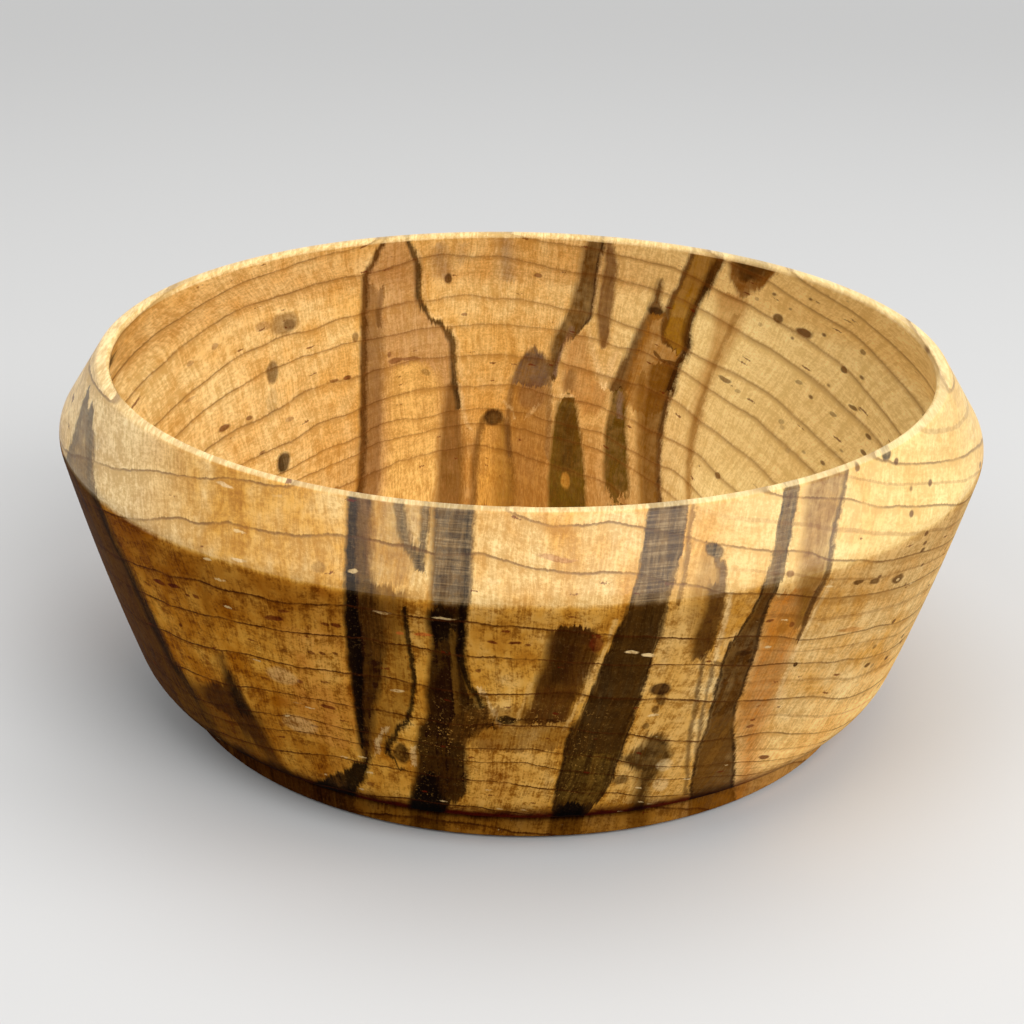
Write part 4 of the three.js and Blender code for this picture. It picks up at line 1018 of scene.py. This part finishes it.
    turning = g.noise(g.vector(0.0, 0.0, g.add(g.times(z0, 3.0), g.times(across, 3.0))), 1.0, 3.0, 0.7)[0]
    relief = g.add(g.times(fibre, 0.4), g.times(grit, 0.5), g.times(turning, 0.5), g.times(line, -0.4))
    rough = g.add(g.step(strands, 0.0, 1.0, 0.36, 0.48), g.times(body, 0.16), g.times(heel, 0.3))
    finish(g, wood.colour, rough, relief, WOOD_RELIEF, specular=0.3)
    return material


def reaches(piece, box):
    """Whether a piece of the figure comes near a box of (least x, most x, least z, most z)."""
    if isinstance(piece, Mark):
        size = max(piece.wide, piece.high)
        x, z = (piece.x - size, piece.x + size), (piece.z - size, piece.z + size)
    else:
        x, z = [place for row in piece.rows for place in row[1:]], [row[0] for row in piece.rows]
    across = min(x) - REGION_MARGIN < box[1] and max(x) + REGION_MARGIN > box[0]
    upright = min(z) - REGION_MARGIN < box[3] and max(z) + REGION_MARGIN > box[2]
    return across and upright


def region(face):
    """A face's zone, its band across, and whether the facet holds it."""
    x, y, z = face.center / MM
    zone = NEAR_ZONE if y < NEAR_EDGE else FAR_ZONE if y > FAR_EDGE else MIDDLE_ZONE
    facet = z > BELLY_HEIGHT and face.normal.x * x + face.normal.y * y > FACET_LEAN * math.hypot(x, y)
    return zone, sum(x > edge for edge in BAND_EDGES), facet


def dress_wood(piece, wood, bands=True):
    """Gives each region of a turned piece its own copy of the wood, with the figure's pieces that reach it."""
    mesh = piece.data
    regions = {}
    for face in mesh.polygons:
        regions.setdefault(region(face) if bands else (MIDDLE_ZONE, 0, False), []).append(face)
    for (zone, band, facet), faces in sorted(regions.items()):
        x, _, z = zip(*[mesh.vertices[i].co / MM for face in faces for i in face.vertices])
        box = min(x), max(x), min(z), max(z)
        copy = wood.copy()
        copy.name = f"{wood.name}_{zone}_{band}" + ("_facet" if facet else "")
        nodes = copy.node_tree.nodes
        nodes["surface"].inputs["Specular IOR Level"].default_value = FACET_GLOSS if facet else BODY_GLOSS
        for side, figure, other in (("near", NEAR, FAR_ZONE), ("far", FAR, NEAR_ZONE)):
            pieces = [p for p in figure if zone != other and reaches(p, box)]
            if pieces:
                nodes[side].node_tree = figure_group(f"{copy.name}_{side}", pieces)
        for face in faces:
            face.material_index = len(mesh.materials)
        mesh.materials.append(copy)


def knob_maple():
    """Plain maple with its grain along Z."""
    material, g = new_material("knob_maple")
    x0, y0, z0 = g.split(millimetres(g))
    lean = g.add(x0, g.times(z0, 0.12))
    rings = g.noise(g.scaled((lean, y0, z0), (0.5, 0.06, 0.03)), 1.0, 3.0, 0.55)[0]
    fibre = g.noise(g.scaled((x0, y0, z0), (3.0, 3.0, 0.25)), 1.0, 3.0, 0.6)[0]
    wood = Layers(g, g.colour(g.step(rings, 0.35, 0.65), srgb(226, 178, 112), srgb(196, 138, 72)))
    wood.lay(srgb(140, 88, 40), g.step(fibre, 0.5, 0.8, 0.0, 0.35))
    height = g.add(g.times(rings, 0.2), fibre)
    finish(g, wood.colour, g.step(fibre, 0.3, 0.7, 0.34, 0.45), height, WOOD_RELIEF, specular=0.35)
    return material


def cork():
    """Pressed cork: grains of several browns with dark joints."""
    material, g = new_material("cork")
    place = millimetres(g)
    grains = g.cells(place, 0.55)
    joints = g.cells(place, 0.55, "DISTANCE_TO_EDGE")
    pits = g.noise(place, 2.2, 3.0, 0.7)[0]
    grain = g.split(grains["Color"])[0]
    pad = Layers(g, g.colour(grain, srgb(150, 104, 62), srgb(204, 160, 106)))
    edge = g.step(joints["Distance"], 0.0, 0.12, 0.75, 0.0)
    pad.lay(srgb(86, 54, 30), edge)
    pad.lay(srgb(96, 62, 34), g.step(pits, 0.58, 0.7, 0.0, 0.6))
    height = g.add(g.times(edge, -0.6), g.times(pits, -0.8))
    finish(g, pad.colour, g.step(pits, 0.4, 0.7, 0.8, 0.95), height, CORK_RELIEF)
    return material


def turned_metal(name, colour, roughness, coarse=1.0):
    """Metal with fine turning lines round its axis."""
    material, g = new_material(name)
    place = millimetres(g)
    x0, y0, z0 = g.split(place)
    lines = g.noise(g.scaled((g.hypot(x0, y0), 0, z0), (9.0 * coarse, 0, 9.0 * coarse)), 1.0, 2.0, 0.6)[0]
    tarnish = g.noise(place, 0.5, 3.0, 0.6)[0]
    tone = g.colour(g.step(tarnish, 0.4, 0.7, 0.0, 0.35), colour, tuple(c * 0.6 for c in colour))
    rough = g.step(lines, 0.3, 0.7, roughness * 0.75, roughness * 1.25)
    finish(g, tone, rough, lines, METAL_RELIEF, metallic=1.0)
    return material


def settle(piece, node, body):
    """The piece takes a CAD node's place, on its body."""
    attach(piece, body)
    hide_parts(node)


def make_turned_pieces():
    bowl = turned("turned_bowl", bowl_profile(), TURNS)
    dress_wood(bowl, streaked_maple("bowl_maple"))
    settle(bowl, "bowl", "bowl")

    base = turned("turned_base", base_profile(), TURNS)
    dress_wood(base, streaked_maple("base_maple", tint=(0.9, 0.86, 0.8)), bands=False)
    settle(base, "base", "base")

    pad = turned("cork_disc", pad_profile(), TURNS)
    pad.data.materials.append(cork())
    settle(pad, "cork_pad", "base")

    knob = turned("turned_knob", knob_profile(), SMALL_TURNS)
    knob.data.materials.append(knob_maple())
    settle(knob, "spindle_knob", "bowl")


def make_balls():
    """Round balls where the CAD's faceted ones stand."""
    material = turned_metal("ball_steel", srgb(220, 222, 225), 0.08, 2.0)
    for node in sorted(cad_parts):
        if not node.startswith("bearing_ball_"):
            continue
        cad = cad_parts[node]
        corners = list(zip(*[cad.matrix_world @ Vector(corner) for corner in cad.bound_box]))
        middle = (Vector([min(c) for c in corners]) + Vector([max(c) for c in corners])) / 2
        ball = turned(f"round_{node}", ball_profile(), 2 * BALL_STEPS)
        ball.data.transform(Matrix.Translation(middle))
        ball.data.materials.append(material)
        settle(ball, node, "cage")


def dress_hardware():
    """The carried-over CAD nodes get their finishes, in each of their slots."""
    finishes = [
        (turned_metal("turned_brass", srgb(214, 170, 92), 0.3), "threaded_insert"),
        (turned_metal("pressed_brass", srgb(206, 160, 84), 0.4), "ball_cage"),
        (turned_metal("ground_steel", srgb(205, 207, 210), 0.16, 1.6),
         "pivot_bush", "bearing_inner_ring", "bearing_outer_ring"),
        (turned_metal("sheet_steel", srgb(184, 187, 190), 0.3), "lower_shield", "upper_shield"),
        (turned_metal("zinc_plate", srgb(178, 184, 190), 0.34), "clamp_washer", "pivot_screw"),
    ]
    for material, *nodes in finishes:
        for node in nodes:
            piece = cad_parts[node]
            if not piece.material_slots:
                piece.data.materials.append(material)
            for slot in piece.material_slots:
                slot.material = material


# Camera, fitted to the photograph's outlines.
CAMERA_DISTANCE = 325.76
CAMERA_ELEVATION = math.radians(23.72)
CAMERA_ROLL = math.radians(1.26)
CAMERA_LENS = 66.75
CAMERA_SENSOR = 36.0
CAMERA_CLIP = 0.01
TARGET_X = -1.21
TARGET_UP = 24.68

# The lamps point at the bowl's middle. Each has its place and its disc's size in metres, and its power in watts.
LAMP_AIM = Vector((0, 0, 0.03))
LAMPS = {
    "overhead": ((0.0, 0.15, 1.0), 0.9, 3.6),
    "front_window": ((0.40, -0.72, 0.74), 0.62, 5.5),
    "right_window": ((0.9, -0.2, 0.42), 0.5, 2.8),
    "left_window": ((-0.5, -0.5, 0.75), 0.5, 1.5),
}

# Strength of the backdrop as it is seen, and of the sky's light on the object. The floor turns into the backdrop
# between two distances in metres.
BACKDROP = 0.8
SKY_LIGHT = 0.45
FLOOR_REACH = 6.0
FLOOR_FADE = (0.35, 1.6)
FLOOR_SEEN = (0.66, 0.66, 0.655)
FLOOR_LIGHT = (0.3, 0.29, 0.28)


def make_camera():
    sin, cos = math.sin(CAMERA_ELEVATION), math.cos(CAMERA_ELEVATION)
    right, up, back = Vector((1, 0, 0)), Vector((0, sin, cos)), Vector((0, -cos, sin))
    rolled_right = right * math.cos(CAMERA_ROLL) + up * math.sin(CAMERA_ROLL)
    rolled_up = up * math.cos(CAMERA_ROLL) - right * math.sin(CAMERA_ROLL)
    place = (right * TARGET_X + up * TARGET_UP + back * CAMERA_DISTANCE) * MM
    camera = bpy.data.cameras.new("camera")
    camera.lens = CAMERA_LENS
    camera.sensor_width = CAMERA_SENSOR
    camera.clip_start = CAMERA_CLIP
    holder = add_object("camera", camera)
    turn = Matrix((rolled_right, rolled_up, back)).transposed().to_4x4()
    holder.matrix_world = Matrix.Translation(place) @ turn
    bpy.context.scene.camera = holder


def seen_directly(g):
    """1 for rays from the camera, also by way of gloss or glass, and 0 for light that falls on the object."""
    path = g.node("LightPath").outputs
    return g.math("MAXIMUM", path["Is Camera Ray"],
                  g.math("MAXIMUM", path["Is Glossy Ray"], path["Is Transmission Ray"]))


def make_floor():
    sides = (-FLOOR_REACH, FLOOR_REACH)
    floor = add_mesh("floor", [(x, y, 0) for x in sides for y in sides], [(0, 2, 3, 1)])
    material, g = new_material("floor")
    seen = seen_directly(g)
    place = g.node("TexCoord").outputs["Object"]
    away = g.node("VectorMath", place, operation="LENGTH").outputs["Value"]
    paint = g.node("BsdfDiffuse", g.colour(seen, FLOOR_LIGHT, FLOOR_SEEN)).outputs[0]
    glow = g.node("Emission", given={"Strength": BACKDROP}).outputs[0]
    even = g.node("MixShader", g.times(seen, g.step(away, *FLOOR_FADE)), paint, glow)
    g.node("OutputMaterial", even.outputs[0])
    material.cycles.emission_sampling = "NONE"
    floor.data.materials.append(material)


def make_world():
    world = bpy.data.worlds.new("world")
    world.use_nodes = True
    g = Graph(world.node_tree)
    strength = g.step(seen_directly(g), 0.0, 1.0, SKY_LIGHT, BACKDROP)
    g.node("OutputWorld", g.node("Background", (1, 1, 1), strength).outputs[0])
    bpy.context.scene.world = world


def make_lamps():
    for name, (place, size, power) in LAMPS.items():
        lamp = bpy.data.lights.new(name, "AREA")
        lamp.shape = "DISK"
        lamp.size = size
        lamp.energy = power
        holder = add_object(name, lamp)
        holder.location = place
        holder.rotation_mode = "QUATERNION"
        holder.rotation_quaternion = (LAMP_AIM - Vector(place)).to_track_quat("-Z", "Y")


make_turned_pieces()
dress_hardware()
make_balls()
make_camera()
make_floor()
make_world()
make_lamps()
bpy.context.scene.view_settings.view_transform = "Standard"
